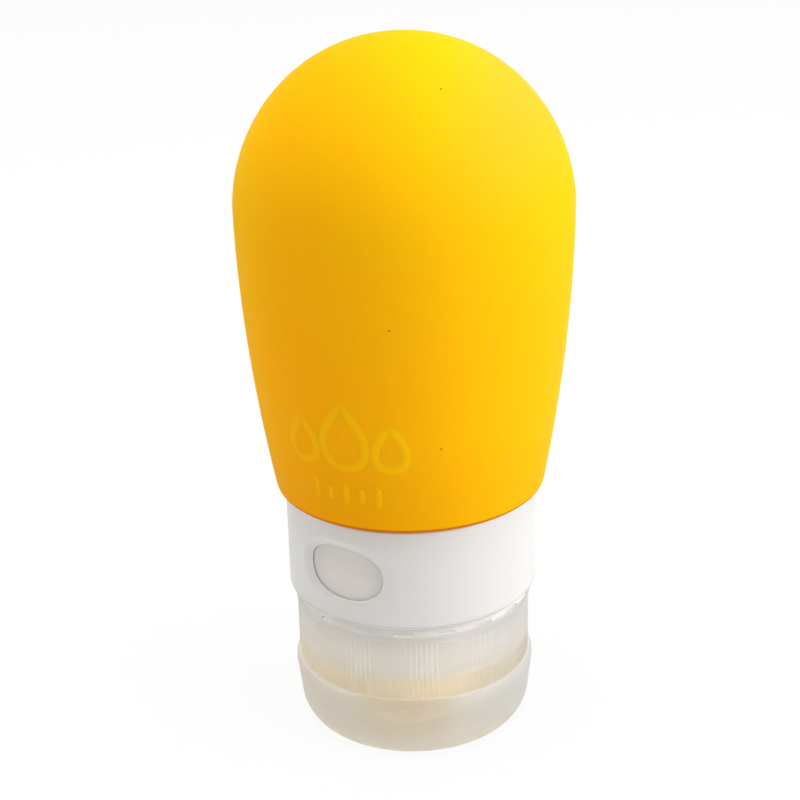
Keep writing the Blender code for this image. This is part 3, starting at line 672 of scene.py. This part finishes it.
def makeCollar():
    part = collar
    steps = part["steps"]
    windowZ = (part["lowZ"] + part["topZ"]) / 2
    profile = collarProfile(part)
    points = placed(*spun(profile, part["windowAzimuth"] + evenly(steps)))

    # the wall's faces round the window are left out, in a box of grid cells
    stepAngle = 360.0 / steps
    halfAngle = math.degrees(math.asin(part["windowWidth"] / 2 / part["radius"]))
    reach = int(math.ceil(halfAngle / stepAngle)) + part["boxSides"]
    inBand = np.abs(profile[:, 1] - windowZ) <= part["windowHeight"] / 2 + part["boxHeight"]
    onOuter = np.abs(profile[:, 0] - part["radius"]) < 1e-6
    onInner = np.abs(profile[:, 0] - part["inner"]) < 1e-6
    keptRow = inBand & (onOuter | onInner)
    faces = gridFaces(len(profile), steps, True, True)
    row = faces[:, 0] // steps
    following = (row + 1) % len(profile)
    column = (faces[:, 0] % steps + reach) % steps
    inside = keptRow[row] & keptRow[following] & (column < 2 * reach)
    faces = faces[~inside]

    # a ring of cells from that box, softly dished, to the oval, through the wall and back out
    # to the box inside
    bandZ = np.sort(np.unique(np.round(profile[keptRow, 1], 6)))
    turns = np.arange(-reach, reach + 1) * stepAngle
    border = np.concatenate([
        np.stack([turns[:-1], np.full(2 * reach, bandZ[0])], axis=1),
        np.stack([np.full(len(bandZ) - 1, turns[-1]), bandZ[:-1]], axis=1),
        np.stack([turns[:0:-1], np.full(2 * reach, bandZ[-1])], axis=1),
        np.stack([np.full(len(bandZ) - 1, turns[0]), bandZ[:0:-1]], axis=1),
    ])
    innerEdge = part["windowInnerEdge"]
    wall = part["radius"] - part["inner"]
    halves = np.array([part["windowWidth"] / 2, part["windowHeight"] / 2])

    def towardsWindow(radius, rim, lean):
        # rings of flat points from the box to the rim: superellipse of |cos|^(2/n), |sin|^(2/n)
        flat = np.stack([radius * np.sin(np.radians(border[:, 0])), border[:, 1] - windowZ], axis=1)
        angle = np.arctan2(flat[:, 1] / halves[1], flat[:, 0] / halves[0])
        unit = np.stack([np.cos(angle), np.sin(angle)], axis=1)
        unit = signedPower(unit, 2 / part["windowPower"])
        ease = np.linspace(0.0, 1.0, part["rings"], endpoint=False)[:, None, None]
        rims = halves + (rim + lean * unit[:, :1])
        return unit, flat * (1 - ease) + unit * rims * ease

    # at the left end the rim's rounding is smaller, and its ledge and the dish are deeper
    unit, outerRings = towardsWindow(part["radius"], part["windowEdge"], part["windowLean"])
    innerRings = towardsWindow(part["inner"], innerEdge, 0.0)[1]
    edge = part["windowEdge"] + part["windowLean"] * unit[:, 0]
    dish = part["windowLedge"] - part["windowLean"] * unit[:, 0] - edge
    arc = np.linspace(0.0, math.pi / 2, 7)[:, None]
    alongInner = np.full(len(border), innerEdge)
    grow = np.concatenate([edge * (1 - np.sin(arc)), alongInner * (1 - np.cos(arc))])
    depth = np.concatenate([dish + edge * (1 - np.cos(arc)), wall - alongInner * (1 - np.sin(arc))])
    through = unit * (halves + grow[:, :, None])
    flat = np.concatenate([outerRings, through, innerRings[::-1]])
    power = part["windowPower"]
    level = (np.abs(outerRings / halves) ** power).sum(axis=-1) ** (1 / power)
    sunk = dish * (1 - smoothStep(part["windowFlat"], part["windowReach"], level))
    flatInner = np.full(innerRings.shape[:2], part["inner"])
    radius = np.concatenate([part["radius"] - sunk, part["radius"] - depth, flatInner])
    azimuth = part["windowAzimuth"] + np.degrees(np.arcsin(flat[..., 0] / radius))
    patch = placed(radius, flat[..., 1] + windowZ, azimuth)
    patchFaces = gridFaces(*radius.shape, False, True)
    meshPiece("collarSleeve", *joined([(points, faces), (patch, patchFaces)]), white, "root",
              nodes=["collar"], slotName="plastic_white")


makeCollar()
print("collar made")


# Identity dial: a thin ring with grip tabs, and numerals that pass the window

dial = {
    "radius": 16.7, "inner": 15.5, "lowZ": 19.45, "rimTopZ": 20.7, "topZ": 33.9,
    "rimRadius": 16.6, "rabbetRadius": 16.2, "rabbetTopZ": 20.2,
    "tabs": 18, "notchWidth": 2.7, "notchHeight": 0.5, "notchSoft": 0.1,
}
numerals = {"count": 7, "size": 5.0, "proud": 0.03, "slice": 0.4}


def makeDial():
    # the rim's lower edge steps up by the notch height between tabs
    part = dial
    profile = outline(cornersOf(
        part, ("radius", "topZ", 0.1), ("radius", "rimTopZ", 0.08),
        ("rimRadius", "rimTopZ", 0.12), ("rimRadius", "lowZ", 0.12),
        ("rabbetRadius", "lowZ", 0.08), ("rabbetRadius", "rabbetTopZ", 0.05),
        ("inner", "rabbetTopZ", 0.05), ("inner", "topZ", 0.1)))
    pitch = 360.0 / part["tabs"]
    edge = math.degrees(part["notchWidth"] / 2 / part["rimRadius"])
    soft = math.degrees(part["notchSoft"] / part["rimRadius"])
    local = np.concatenate([
        np.linspace(-edge - soft, -edge + soft, 5), np.linspace(-edge + 1, edge - 1, 6),
        np.linspace(edge - soft, edge + soft, 5), np.linspace(edge + 1, pitch - edge - 1, 7),
    ])
    azimuths = (np.arange(part["tabs"])[:, None] * pitch + local[None, :]).ravel()
    radius, height, azimuth = spun(profile, azimuths)
    inPitch = np.abs((azimuth + pitch / 2) % pitch - pitch / 2)
    notch = 1 - smoothStep(edge - soft, edge + soft, inPitch)
    floorZ = part["lowZ"] + part["notchHeight"] * notch
    onRim = (radius > part["rabbetRadius"] - 0.02) & (height < part["lowZ"] + part["notchHeight"])
    height = np.where(onRim, np.maximum(height, floorZ), height)
    closedPiece("idDial", radius, height, azimuth, frostedDial, "dial", nodes=["id_dial"],
                slotName="plastic_natural")


def numeralShape(text):
    # flat numeral with its middle at the origin, sliced across so that it can bend
    curve = bpy.data.curves.new("numeral", "FONT")
    curve.body = text
    curve.size = numerals["size"]
    curve.align_x = "CENTER"
    curve.align_y = "CENTER"
    curve.extrude = numerals["proud"]
    curve.resolution_u = 6
    writing = bpy.data.objects.new("numeral", curve)
    bpy.context.scene.collection.objects.link(writing)
    graph = bpy.context.evaluated_depsgraph_get()
    shape = bpy.data.meshes.new_from_object(writing.evaluated_get(graph))
    bpy.data.objects.remove(writing, do_unlink=True)
    work = bmesh.new()
    work.from_mesh(shape)
    reach = numerals["size"] / 2
    for side in np.arange(-reach, reach, numerals["slice"]):
        everything = work.verts[:] + work.edges[:] + work.faces[:]
        bmesh.ops.bisect_plane(
            work, geom=everything, plane_co=(float(side), 0, 0), plane_no=(1, 0, 0))
    bmesh.ops.triangulate(work, faces=work.faces)
    work.verts.ensure_lookup_table()
    points = np.array([vert.co for vert in work.verts])
    faces = np.array([[vert.index for vert in face.verts] for face in work.faces])
    work.free()
    bpy.data.meshes.remove(shape)
    return points, faces


def makeNumerals():
    # numeral k stands 45 k degrees past the window, so that the window is bare at rest
    parts = []
    middleZ = (collar["lowZ"] + collar["topZ"]) / 2
    for index in range(1, numerals["count"] + 1):
        points, faces = numeralShape(str(index))
        middle = collar["windowAzimuth"] + index * 360.0 / (numerals["count"] + 1)
        azimuth = middle + np.degrees(points[:, 0] / dial["radius"])
        points = placed(dial["radius"] + points[:, 2], points[:, 1] + middleZ, azimuth)
        parts.append((points, faces))
    meshPiece("dialNumerals", *joined(parts), ink, "dial", slotName="plastic_natural")


makeDial()
makeNumerals()
print("dial made")


# Neck insert with its screw thread, and the cap's thread between its turns

neck = {
    "tube": 12.4, "bore": 11.4, "topZ": 35.45, "channelZ": 25.1, "channelRadius": 14.5,
    "wallTopZ": 34.4, "radius": 15.2, "flangeRadius": 16.12, "flangeZ": 19.45, "flangeTopZ": 19.9,
    "webZ": 23.1, "core": 13.4, "endZ": 12.4, "rowStep": 0.13, "steps": 240,
}
thread = {
    "lead": 3.0, "depth": 0.72, "crest": 0.45, "base": 1.25, "fade": 0.5,
    "lowZ": 13.2, "highZ": 18.7, "capDepth": 0.62, "capLowZ": 13.6, "capHighZ": 18.3,
}


def ridge(azimuth, height, start, lowZ, highZ):
    # helical ridge: 1 on its crest and 0 off its base, by the distance along Z from the line
    # z = lead * azimuth / 360 + start, faded out towards both ends
    lead = thread["lead"]
    offset = (height - lead * azimuth / 360.0 - start + lead / 2) % lead - lead / 2
    shape = 1 - smoothStep(thread["crest"] / 2, thread["base"] / 2, np.abs(offset))
    fade = thread["fade"]
    begun = smoothStep(lowZ - fade, lowZ + fade, height)
    return shape * begun * (1 - smoothStep(highZ - fade, highZ + fade, height))


def makeNeck():
    # a tube inside, the channel for the lip, the dial's flange, and the core with its thread
    part = neck
    rows = np.arange(thread["highZ"] + 0.8, thread["lowZ"] - 0.6, -part["rowStep"])
    profile = outline(np.concatenate([
        cornersOf(
            part, ("tube", "topZ", 0.15), ("tube", "channelZ", 0.3),
            ("channelRadius", "channelZ", 0.3), ("channelRadius", "wallTopZ", 0.15),
            ("radius", "wallTopZ", 0.15), ("radius", "flangeTopZ", 0.1),
            ("flangeRadius", "flangeTopZ", 0.1), ("flangeRadius", "flangeZ", 0.1),
            ("channelRadius", "flangeZ", 0.1), ("channelRadius", "webZ", 0.2),
            ("core", "webZ", 0.2)),
        upright(part["core"], rows),
        cornersOf(part, ("core", "endZ", 0.2), ("bore", "endZ", 0.15), ("bore", "topZ", 0.15)),
    ]), arcPoints=4)
    radius, height, azimuth = spun(profile, evenly(part["steps"]))
    onCore = np.abs(radius - part["core"]) < 0.01
    grip = ridge(azimuth, height, 0.0, thread["lowZ"], thread["highZ"])
    closedPiece("neckInsert", radius + onCore * thread["depth"] * grip, height, azimuth,
                frostedNeck, "root", nodes=["neck_insert"], slotName="plastic_natural")


makeNeck()

gasket = {
    "radius": 14.25, "inner": 11.25, "lowZ": 8.5, "topZ": 12.1, "steps": 180,
    "fillets": (0.37, 0.37, 0.2, 0.2),
}


def ringPiece(name, part, *about, **more):
    # a turned rectangle, its fillets given from the outer top by way of the outer low corner
    rows = zip(("radius", "radius", "inner", "inner"), ("topZ", "lowZ", "lowZ", "topZ"),
               part["fillets"])
    turnedPiece(name, outline(cornersOf(part, *rows)), part["steps"], *about, **more)


ringPiece("capGasket", gasket, cream, "seal", nodes=["cap_gasket"], slotName="silicone_cream")
print("neck and gasket made")


# Screw cap: ribbed skirt with a hinge pad, deck, spout ring, valve well and inner thread

cap = {
    "radius": 16.40, "rimRadius": 16.6, "topZ": 19.38, "rimZ": 18.45, "footZ": 18.2, "lowZ": 9.47,
    "inner": 14.55, "deckRadius": 15.45, "plugRadius": 15.12, "deckZ": 7.0, "deckInnerZ": 8.2,
    "spout": 4.6, "spoutOuter": 6.2, "spoutZ": 5.5,
    "well": 6.9, "wellOuter": 7.8, "wellTopZ": 10.4, "ringTop": 15.2, "ringLow": 15.8,
    "rowsZ": (17.9, 16.0, 13.5, 12.25, 12.15, 12.02, 11.0, 10.0, 9.9, 9.8, 9.7, 9.6),
    "threadRows": (12.9, 19.0, 0.22),
    "ribs": 144, "perRib": 9, "ribStart": 0.625, "ribTip": 16.52, "ribBase": 0.12,
    "ribFrom": 16.2, "ribLowZ": 9.68, "ribHighZ": 18.2,
    "wearGroups": 11, "wearStart": 9.1, "wearWave": (0.3, 0.8), "worn": 0.75,
    "padHalf": 4.4, "padY": 16.6, "padLowZ": 9.84, "padTopZ": 12.09, "padReach": 60.0,
}


def stitched(coarse, fine):
    # faces from a ring of coarse points to a ring with 3 times as many
    following = np.roll(coarse, -1)
    fine = fine.reshape(-1, 3)
    last = np.roll(fine[:, 0], -1)
    corners = np.stack([coarse, fine[:, 0], fine[:, 1]], axis=1)
    middle = np.stack([coarse, fine[:, 1], fine[:, 2], following], axis=1)
    others = np.stack([following, fine[:, 2], last], axis=1)
    return [np.concatenate([corners, others]), middle]


def makeCap():
    part = cap
    outerRows = [
        cornersOf(
            part, ("ringTop", "topZ", 0.0), ("rimRadius", "topZ", 0.2),
            ("rimRadius", "rimZ", 0.08), ("radius", "footZ", 0.08)),
        upright(part["radius"], np.array(part["rowsZ"])),
        cornersOf(part, ("radius", "lowZ", 0.04), ("ringLow", "lowZ", 0.0)),
    ]
    innerRows = [
        cornersOf(
            part, ("deckRadius", "lowZ", 0.05), ("plugRadius", "deckZ", 0.3),
            ("spoutOuter", "deckZ", 0.15), ("spoutOuter", "spoutZ", 0.2),
            ("spout", "spoutZ", 0.2), ("spout", "deckInnerZ", 0.1),
            ("well", "deckInnerZ", 0.1), ("well", "wellTopZ", 0.15),
            ("wellOuter", "wellTopZ", 0.15), ("wellOuter", "deckInnerZ", 0.15),
            ("inner", "deckInnerZ", 0.2)),
        upright(part["inner"], np.arange(*part["threadRows"])),
        cornersOf(part, ("inner", "topZ", 0.1)),
    ]
    profile = outline(np.concatenate(outerRows + innerRows), arcPoints=4, longest=3.0)
    split = int(np.argmin(np.abs(profile - (part["ringLow"], part["lowZ"])).sum(axis=1)))
    fineSteps = part["ribs"] * part["perRib"]
    coarseSteps = fineSteps // 3

    # outer skin: ribs of triangular section, left off round the hinge pad, and worn lower in
    # places by the factor 1 - w (1 - c), with c a smooth step of a cosine round the cap
    azimuths = part["ribStart"] + evenly(fineSteps)
    radius, height, azimuth = spun(profile[:split + 1], azimuths)
    pitch = 360.0 / part["ribs"]
    offset = np.abs((azimuth - part["ribStart"] + pitch / 2) % pitch - pitch / 2)
    offset = np.radians(offset) * part["ribTip"]
    fromBack = np.abs((azimuth % 360.0) - 180.0)
    plain = math.degrees(math.asin(part["padHalf"] / part["radius"])) + pitch
    rib = np.clip(1 - offset / part["ribBase"], 0.0, 1.0) * (fromBack > plain)
    wave = 0.5 + 0.5 * np.cos(np.radians(part["wearGroups"] * (azimuth - part["wearStart"])))
    rib = rib * (1 - part["worn"] * (1 - smoothStep(*part["wearWave"], wave)))
    rib = rib * smoothStep(part["ribLowZ"] - 0.1, part["ribLowZ"] + 0.15, height)
    rib = rib * (1 - smoothStep(part["ribHighZ"], part["ribHighZ"] + 0.2, height))
    onWall = (height < part["rimZ"]) & (radius > part["ribFrom"])
    radius = radius + onWall * np.maximum(part["ribTip"] - radius, 0.0) * rib
    pad = part["padY"] / np.cos(np.radians(np.minimum(fromBack, part["padReach"])))
    onPad = (pad * np.sin(np.radians(fromBack)) < part["padHalf"]) & (fromBack < part["padReach"])
    onPad = onPad & (height > part["padLowZ"]) & (height < part["padTopZ"])
    radius = np.where(onPad, np.maximum(radius, pad), radius)
    outer = placed(radius, height, azimuth)

    # inner skin, a third as fine, with the thread between the turns of the neck's thread
    azimuths = part["ribStart"] + evenly(coarseSteps)
    radius, height, azimuth = spun(profile[split + 1:], azimuths)
    onInner = np.abs(radius - part["inner"]) < 0.01
    grip = ridge(azimuth, height, thread["lead"] / 2, thread["capLowZ"], thread["capHighZ"])
    inner = placed(radius - onInner * thread["capDepth"] * grip, height, azimuth)

    outerCount, innerCount = len(outer), len(inner)
    shift = outerCount * fineSteps
    fineRing = np.arange(fineSteps)
    coarseRing = np.arange(coarseSteps) + shift
    faces = [
        gridFaces(outerCount, fineSteps, False, True),
        gridFaces(innerCount, coarseSteps, False, True) + shift,
        *stitched(coarseRing, fineRing + (outerCount - 1) * fineSteps),
        *stitched(coarseRing + (innerCount - 1) * coarseSteps, fineRing),
    ]
    points = np.concatenate([outer.reshape(-1, 3), inner.reshape(-1, 3)])
    meshPiece("ribbedCap", points, faces, frostedCap, "cap", nodes=["cap_base"],
              slotName="plastic_natural")


makeCap()
print("cap made")


# Flip lid: shallow cup with a rounded lower edge, sealing ring, thumb scoop and hinge flat

lid = {
    "radius": 17.15, "topZ": 9.44, "wall": 1.4, "taper": 0.65, "edgeZ": 4.3, "edgeWidth": 2.75,
    "rimWidth": 0.46, "rimHeight": 1.3, "mouth": 15.75, "floorZ": 1.4,
    "seal": 6.5, "sealOuter": 7.3, "sealTopZ": 6.7,
    "scoopHalf": 27.0, "scoopHeight": 3.3, "scoopDepth": 0.95, "scoopLowZ": 4.0,
    "skinFrom": 0.25, "skinWidth": 0.75, "flatY": 16.6, "flatZ": 7.09, "flatReach": 60.0,
    "steps": 480,
}


def lidEdge(radius, bottom, width, height, count):
    # quarter ellipse from the wall at its full height down to the flat face
    angle = np.linspace(0.0, math.pi / 2, count)
    return upright(radius - width * (1 - np.cos(angle)), bottom + height * (1 - np.sin(angle)))


def makeLid():
    part = lid
    base = part["radius"] - part["taper"]
    wallZ = np.linspace(part["topZ"] - part["rimHeight"], part["edgeZ"] + 0.1, 30)
    share = (part["topZ"] - wallZ) / (part["topZ"] - part["edgeZ"])
    wall = upright(part["radius"] - part["taper"] * share, wallZ)

    # the rim is a quarter ellipse: radius r - w (1 - sin t), height z + h cos t
    angle = np.linspace(0.0, math.pi / 2, 12, endpoint=False)
    rim = upright(wall[0, 0] - part["rimWidth"] * (1 - np.sin(angle)),
                  wallZ[0] + part["rimHeight"] * np.cos(angle))
    edgeInside = part["edgeZ"] - part["wall"]
    inside = lidEdge(base - part["wall"], part["floorZ"], part["edgeWidth"], edgeInside, 12)
    profile = outline(np.concatenate([
        rim, wall, lidEdge(base, 0.0, part["edgeWidth"], part["edgeZ"], 26),
        cornersOf(
            part, (0.0, 0.0, 0.0), (0.0, "floorZ", 0.0), ("seal", "floorZ", 0.3),
            ("seal", "sealTopZ", 0.25), ("sealOuter", "sealTopZ", 0.25),
            ("sealOuter", "floorZ", 0.3)),
        inside[::-1], cornersOf(part, ("mouth", "topZ", 0.2)),
    ]))
    radius, height, azimuth = spun(profile, evenly(part["steps"]))

    # scoop: depth D (1 - s^2) (1 - (1 - t)^2.6), with s the share of its half angle and t the
    # share of the way up from its lower edge, H - h (1 - s^2)^0.6
    fromFront = np.abs((azimuth + 180.0) % 360.0 - 180.0)
    bulge = np.clip(1 - (fromFront / part["scoopHalf"]) ** 2, 0.0, 1.0)
    bottom = part["topZ"] - part["scoopHeight"] * bulge ** 0.6
    rise = np.clip((height - bottom) / np.maximum(part["topZ"] - bottom, 1e-3), 0.0, 1.0)
    depth = part["scoopDepth"] * bulge * (1 - (1 - rise) ** 2.6)
    onOuter = np.clip((radius - part["mouth"] - part["skinFrom"]) / part["skinWidth"], 0.0, 1.0)
    radius = radius - depth * onOuter * (height > part["scoopLowZ"])

    # hinge flat: nothing past Y = flatY above flatZ
    fromBack = np.abs(azimuth - 180.0)
    flat = part["flatY"] / np.cos(np.radians(np.minimum(fromBack, part["flatReach"])))
    onFlat = (fromBack < part["flatReach"]) & (height > part["flatZ"])
    closedPiece("flipLid", np.where(onFlat, np.minimum(radius, flat), radius), height, azimuth,
                frostedLid, "lid", nodes=["flip_lid"], slotName="plastic_natural")


makeLid()
print("lid made")


# Living hinge: two webs between cap and lid, thin along the hinge line

hinge = {
    "width": 3.0, "spacing": 5.2, "reach": 2.2, "z": 9.59, "y": 17.125, "thickness": 0.45,
    "web": 0.24, "webShares": (0.14, 0.4), "rootY": 16.52,
    "crease": 0.08, "creaseShare": 0.35, "endDip": 0.12, "endShare": 0.85,
    "narrowing": 0.06, "narrowShare": 0.8, "squareness": 0.35, "bendHalf": 0.45,
    "rows": 41, "columns": 32,
}


def makeStrap(name, node, side):
    # section across: a bar of signed powers of cosine and sine; along Z its inner face draws in
    # to the thin web, its outer face dips at the crease, and its ends run out
    part = hinge
    share = np.linspace(-1.0, 1.0, part["rows"])
    fromLine = np.abs(share)
    height = part["z"] + part["reach"] * share
    outerY = np.full(len(share), part["y"] + part["thickness"] / 2)
    outerY = outerY - part["crease"] * (1 - smoothStep(0.0, part["creaseShare"], fromLine))
    outerY = outerY - part["endDip"] * smoothStep(part["endShare"], 1.0, fromLine)
    innerY = outerY - part["web"]
    innerY = innerY + (part["rootY"] - innerY) * smoothStep(*part["webShares"], fromLine)
    narrowed = 1 - part["narrowing"] * smoothStep(part["narrowShare"], 1.0, fromLine)
    half = part["width"] / 2 * narrowed
    turn = np.linspace(0.0, 2 * math.pi, part["columns"] + 1)[:-1]
    cosine = signedPower(np.cos(turn), part["squareness"])
    sine = signedPower(np.sin(turn), part["squareness"])
    middleY = ((outerY + innerY) / 2)[:, None]
    thick = ((outerY - innerY) / 2)[:, None]
    x = side * part["spacing"] / 2 + half[:, None] * cosine[None]
    y = middleY + thick * sine[None]
    body = np.stack([x, y, np.repeat(height[:, None], len(turn), axis=1)], axis=-1)
    ends = body[[0, -1]].mean(axis=1, keepdims=True).repeat(len(turn), axis=1)
    points = np.concatenate([ends[:1], body, ends[1:]])
    faces = gridFaces(*points.shape[:2], False, True)
    strap = meshPiece(name, points, faces, frostedLid, None, nodes=[node],
                      slotName="plastic_natural")
    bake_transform(strap)


makeStrap("hingeStrapLeft", "hinge_strap_left", -1)
makeStrap("hingeStrapRight", "hinge_strap_right", 1)


# Valve: the solid's own form, welded and smoothed, and its ring as a fine turned piece

retainer = {
    "radius": 6.6, "inner": 4.6, "lowZ": 9.6, "topZ": 10.4, "steps": 144,
    "fillets": (0.2, 0.1, 0.1, 0.2),
}


def makeValve():
    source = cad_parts["valve_membrane"].data
    points = np.empty(len(source.vertices) * 3, np.float32)
    source.vertices.foreach_get("co", points)
    faces = np.array([list(face.vertices) for face in source.polygons])
    meshPiece("slitValve", points / mm, faces, milky, "cap",
              nodes=["valve_membrane"], slotName="silicone_clear", sharp=30.0)
    ringPiece("valveRing", retainer, white, "cap", nodes=["valve_retainer"],
              slotName="plastic_white")


makeValve()
print("hinge and valve made")


# Camera, as the photograph was taken

photoCamera = {
    "azimuth": 5.0, "side": -1.1836, "back": 228.905, "height": 140.233, "aimZ": 47.218,
    "roll": -1.459, "lens": 81.04, "sensor": 36.0,
}


def makeCamera():
    # the camera looks from its azimuth at the aim height, then rolls about its own axis
    view = photoCamera
    turn = Matrix.Rotation(math.radians(view["azimuth"]), 4, "Z")
    pitch = math.atan2(view["height"] - view["aimZ"], view["back"])
    place = Matrix.Translation((view["side"] * mm, -view["back"] * mm, view["height"] * mm))
    look = Matrix.Rotation(math.pi / 2 - pitch, 4, "X")
    look = look @ Matrix.Rotation(math.radians(view["roll"]), 4, "Z")
    camera = bpy.data.objects.new("photoCamera", bpy.data.cameras.new("photoCamera"))
    camera.data.lens = view["lens"]
    camera.data.sensor_width = view["sensor"]
    camera.data.clip_start = 10 * mm
    camera.data.clip_end = 20.0
    bpy.context.scene.collection.objects.link(camera)
    camera.matrix_world = turn @ place @ look
    bpy.context.scene.camera = camera


makeCamera()


# Lamps, in metres and watts, and the floor, in millimetres

lamps = {
    "rightLamp": {
        "azimuth": 77, "elevation": 15, "size": (0.8, 0.7), "watts": 6.2,
        "color": (1.0, 1.0, 1.0),
    },
    "leftLamp": {
        "azimuth": -88, "elevation": 15, "size": (0.8, 0.7), "watts": 1.7,
        "color": (1.0, 0.97, 0.91),
    },
    "topLamp": {
        "azimuth": 0, "elevation": 89, "size": (0.8, 0.8), "watts": 8.6,
        "color": (1.0, 1.0, 1.0),
    },
}
lampPlace = {"distance": 0.9, "aimHeight": 0.05}
surround = {"light": 0.3, "seen": 1.0}


def makeLamps():
    # every lamp faces the middle of the bottle from its azimuth and elevation
    for name, lamp in lamps.items():
        data = bpy.data.lights.new(name, "AREA")
        data.shape = "RECTANGLE"
        data.size, data.size_y = lamp["size"]
        data.energy = lamp["watts"]
        data.color = lamp["color"]
        piece = bpy.data.objects.new(name, data)
        bpy.context.scene.collection.objects.link(piece)
        turn = Matrix.Rotation(math.radians(lamp["azimuth"]), 4, "Z")
        lift = Matrix.Rotation(math.radians(90 - lamp["elevation"]), 4, "X")
        aim = Matrix.Translation((0, 0, lampPlace["aimHeight"]))
        away = Matrix.Translation((0, 0, lampPlace["distance"]))
        piece.matrix_world = aim @ turn @ lift @ away


def seenDirectly(tree):
    # 1 for a ray from the camera, off a gloss or through clear stuff, and 0 for a diffuse one
    path = tree.nodes.new("ShaderNodeLightPath")
    seen = path.outputs["Is Camera Ray"]
    for kind in ("Is Glossy Ray", "Is Transmission Ray"):
        either = tree.nodes.new("ShaderNodeMath")
        either.operation = "MAXIMUM"
        tree.links.new(seen, either.inputs[0])
        tree.links.new(path.outputs[kind], either.inputs[1])
        seen = either.outputs[0]
    return seen


def makeWorld():
    # white where it is seen, and faint plain light otherwise
    world = bpy.data.worlds.new("paleRoom")
    world.use_nodes = True
    tree = world.node_tree
    background = tree.nodes["Background"]
    background.inputs["Color"].default_value = (1.0, 1.0, 1.0, 1.0)
    strength = tree.nodes.new("ShaderNodeMapRange")
    strength.inputs["To Min"].default_value = surround["light"]
    strength.inputs["To Max"].default_value = surround["seen"]
    tree.links.new(seenDirectly(tree), strength.inputs["Value"])
    tree.links.new(strength.outputs[0], background.inputs["Strength"])
    bpy.context.scene.world = world


floor = {
    "size": 1500.0, "drop": 0.02, "color": (0.86, 0.86, 0.86), "roughness": 0.9, "gloss": 0.1,
    "glow": 0.9,
}


def makeFloor():
    # pale floor that the camera sees mostly as its own white, under the object's soft shadow
    half = floor["size"] / 2
    across = np.array([(-half, -half), (half, -half), (half, half), (-half, half)])
    points = np.concatenate([across, np.full((4, 1), -floor["drop"])], axis=1)
    material = bpy.data.materials.new("paleFloor")
    material.use_nodes = True
    tree = material.node_tree
    shader = tree.nodes["Principled BSDF"]
    shader.inputs["Base Color"].default_value = (*floor["color"], 1.0)
    shader.inputs["Roughness"].default_value = floor["roughness"]
    shader.inputs["Specular IOR Level"].default_value = floor["gloss"]
    glow = tree.nodes.new("ShaderNodeEmission")
    share = tree.nodes.new("ShaderNodeMath")
    share.operation = "MULTIPLY"
    share.inputs[1].default_value = floor["glow"]
    mix = tree.nodes.new("ShaderNodeMixShader")
    tree.links.new(seenDirectly(tree), share.inputs[0])
    tree.links.new(share.outputs[0], mix.inputs[0])
    tree.links.new(shader.outputs[0], mix.inputs[1])
    tree.links.new(glow.outputs[0], mix.inputs[2])
    tree.links.new(mix.outputs[0], tree.nodes["Material Output"].inputs["Surface"])
    piece = meshPiece("paleFloor", points, np.array([[0, 1, 2, 3]]), material, None)


makeLamps()
makeWorld()
makeFloor()
bpy.context.scene.view_settings.view_transform = "Standard"
print("camera, lamps and floor made")
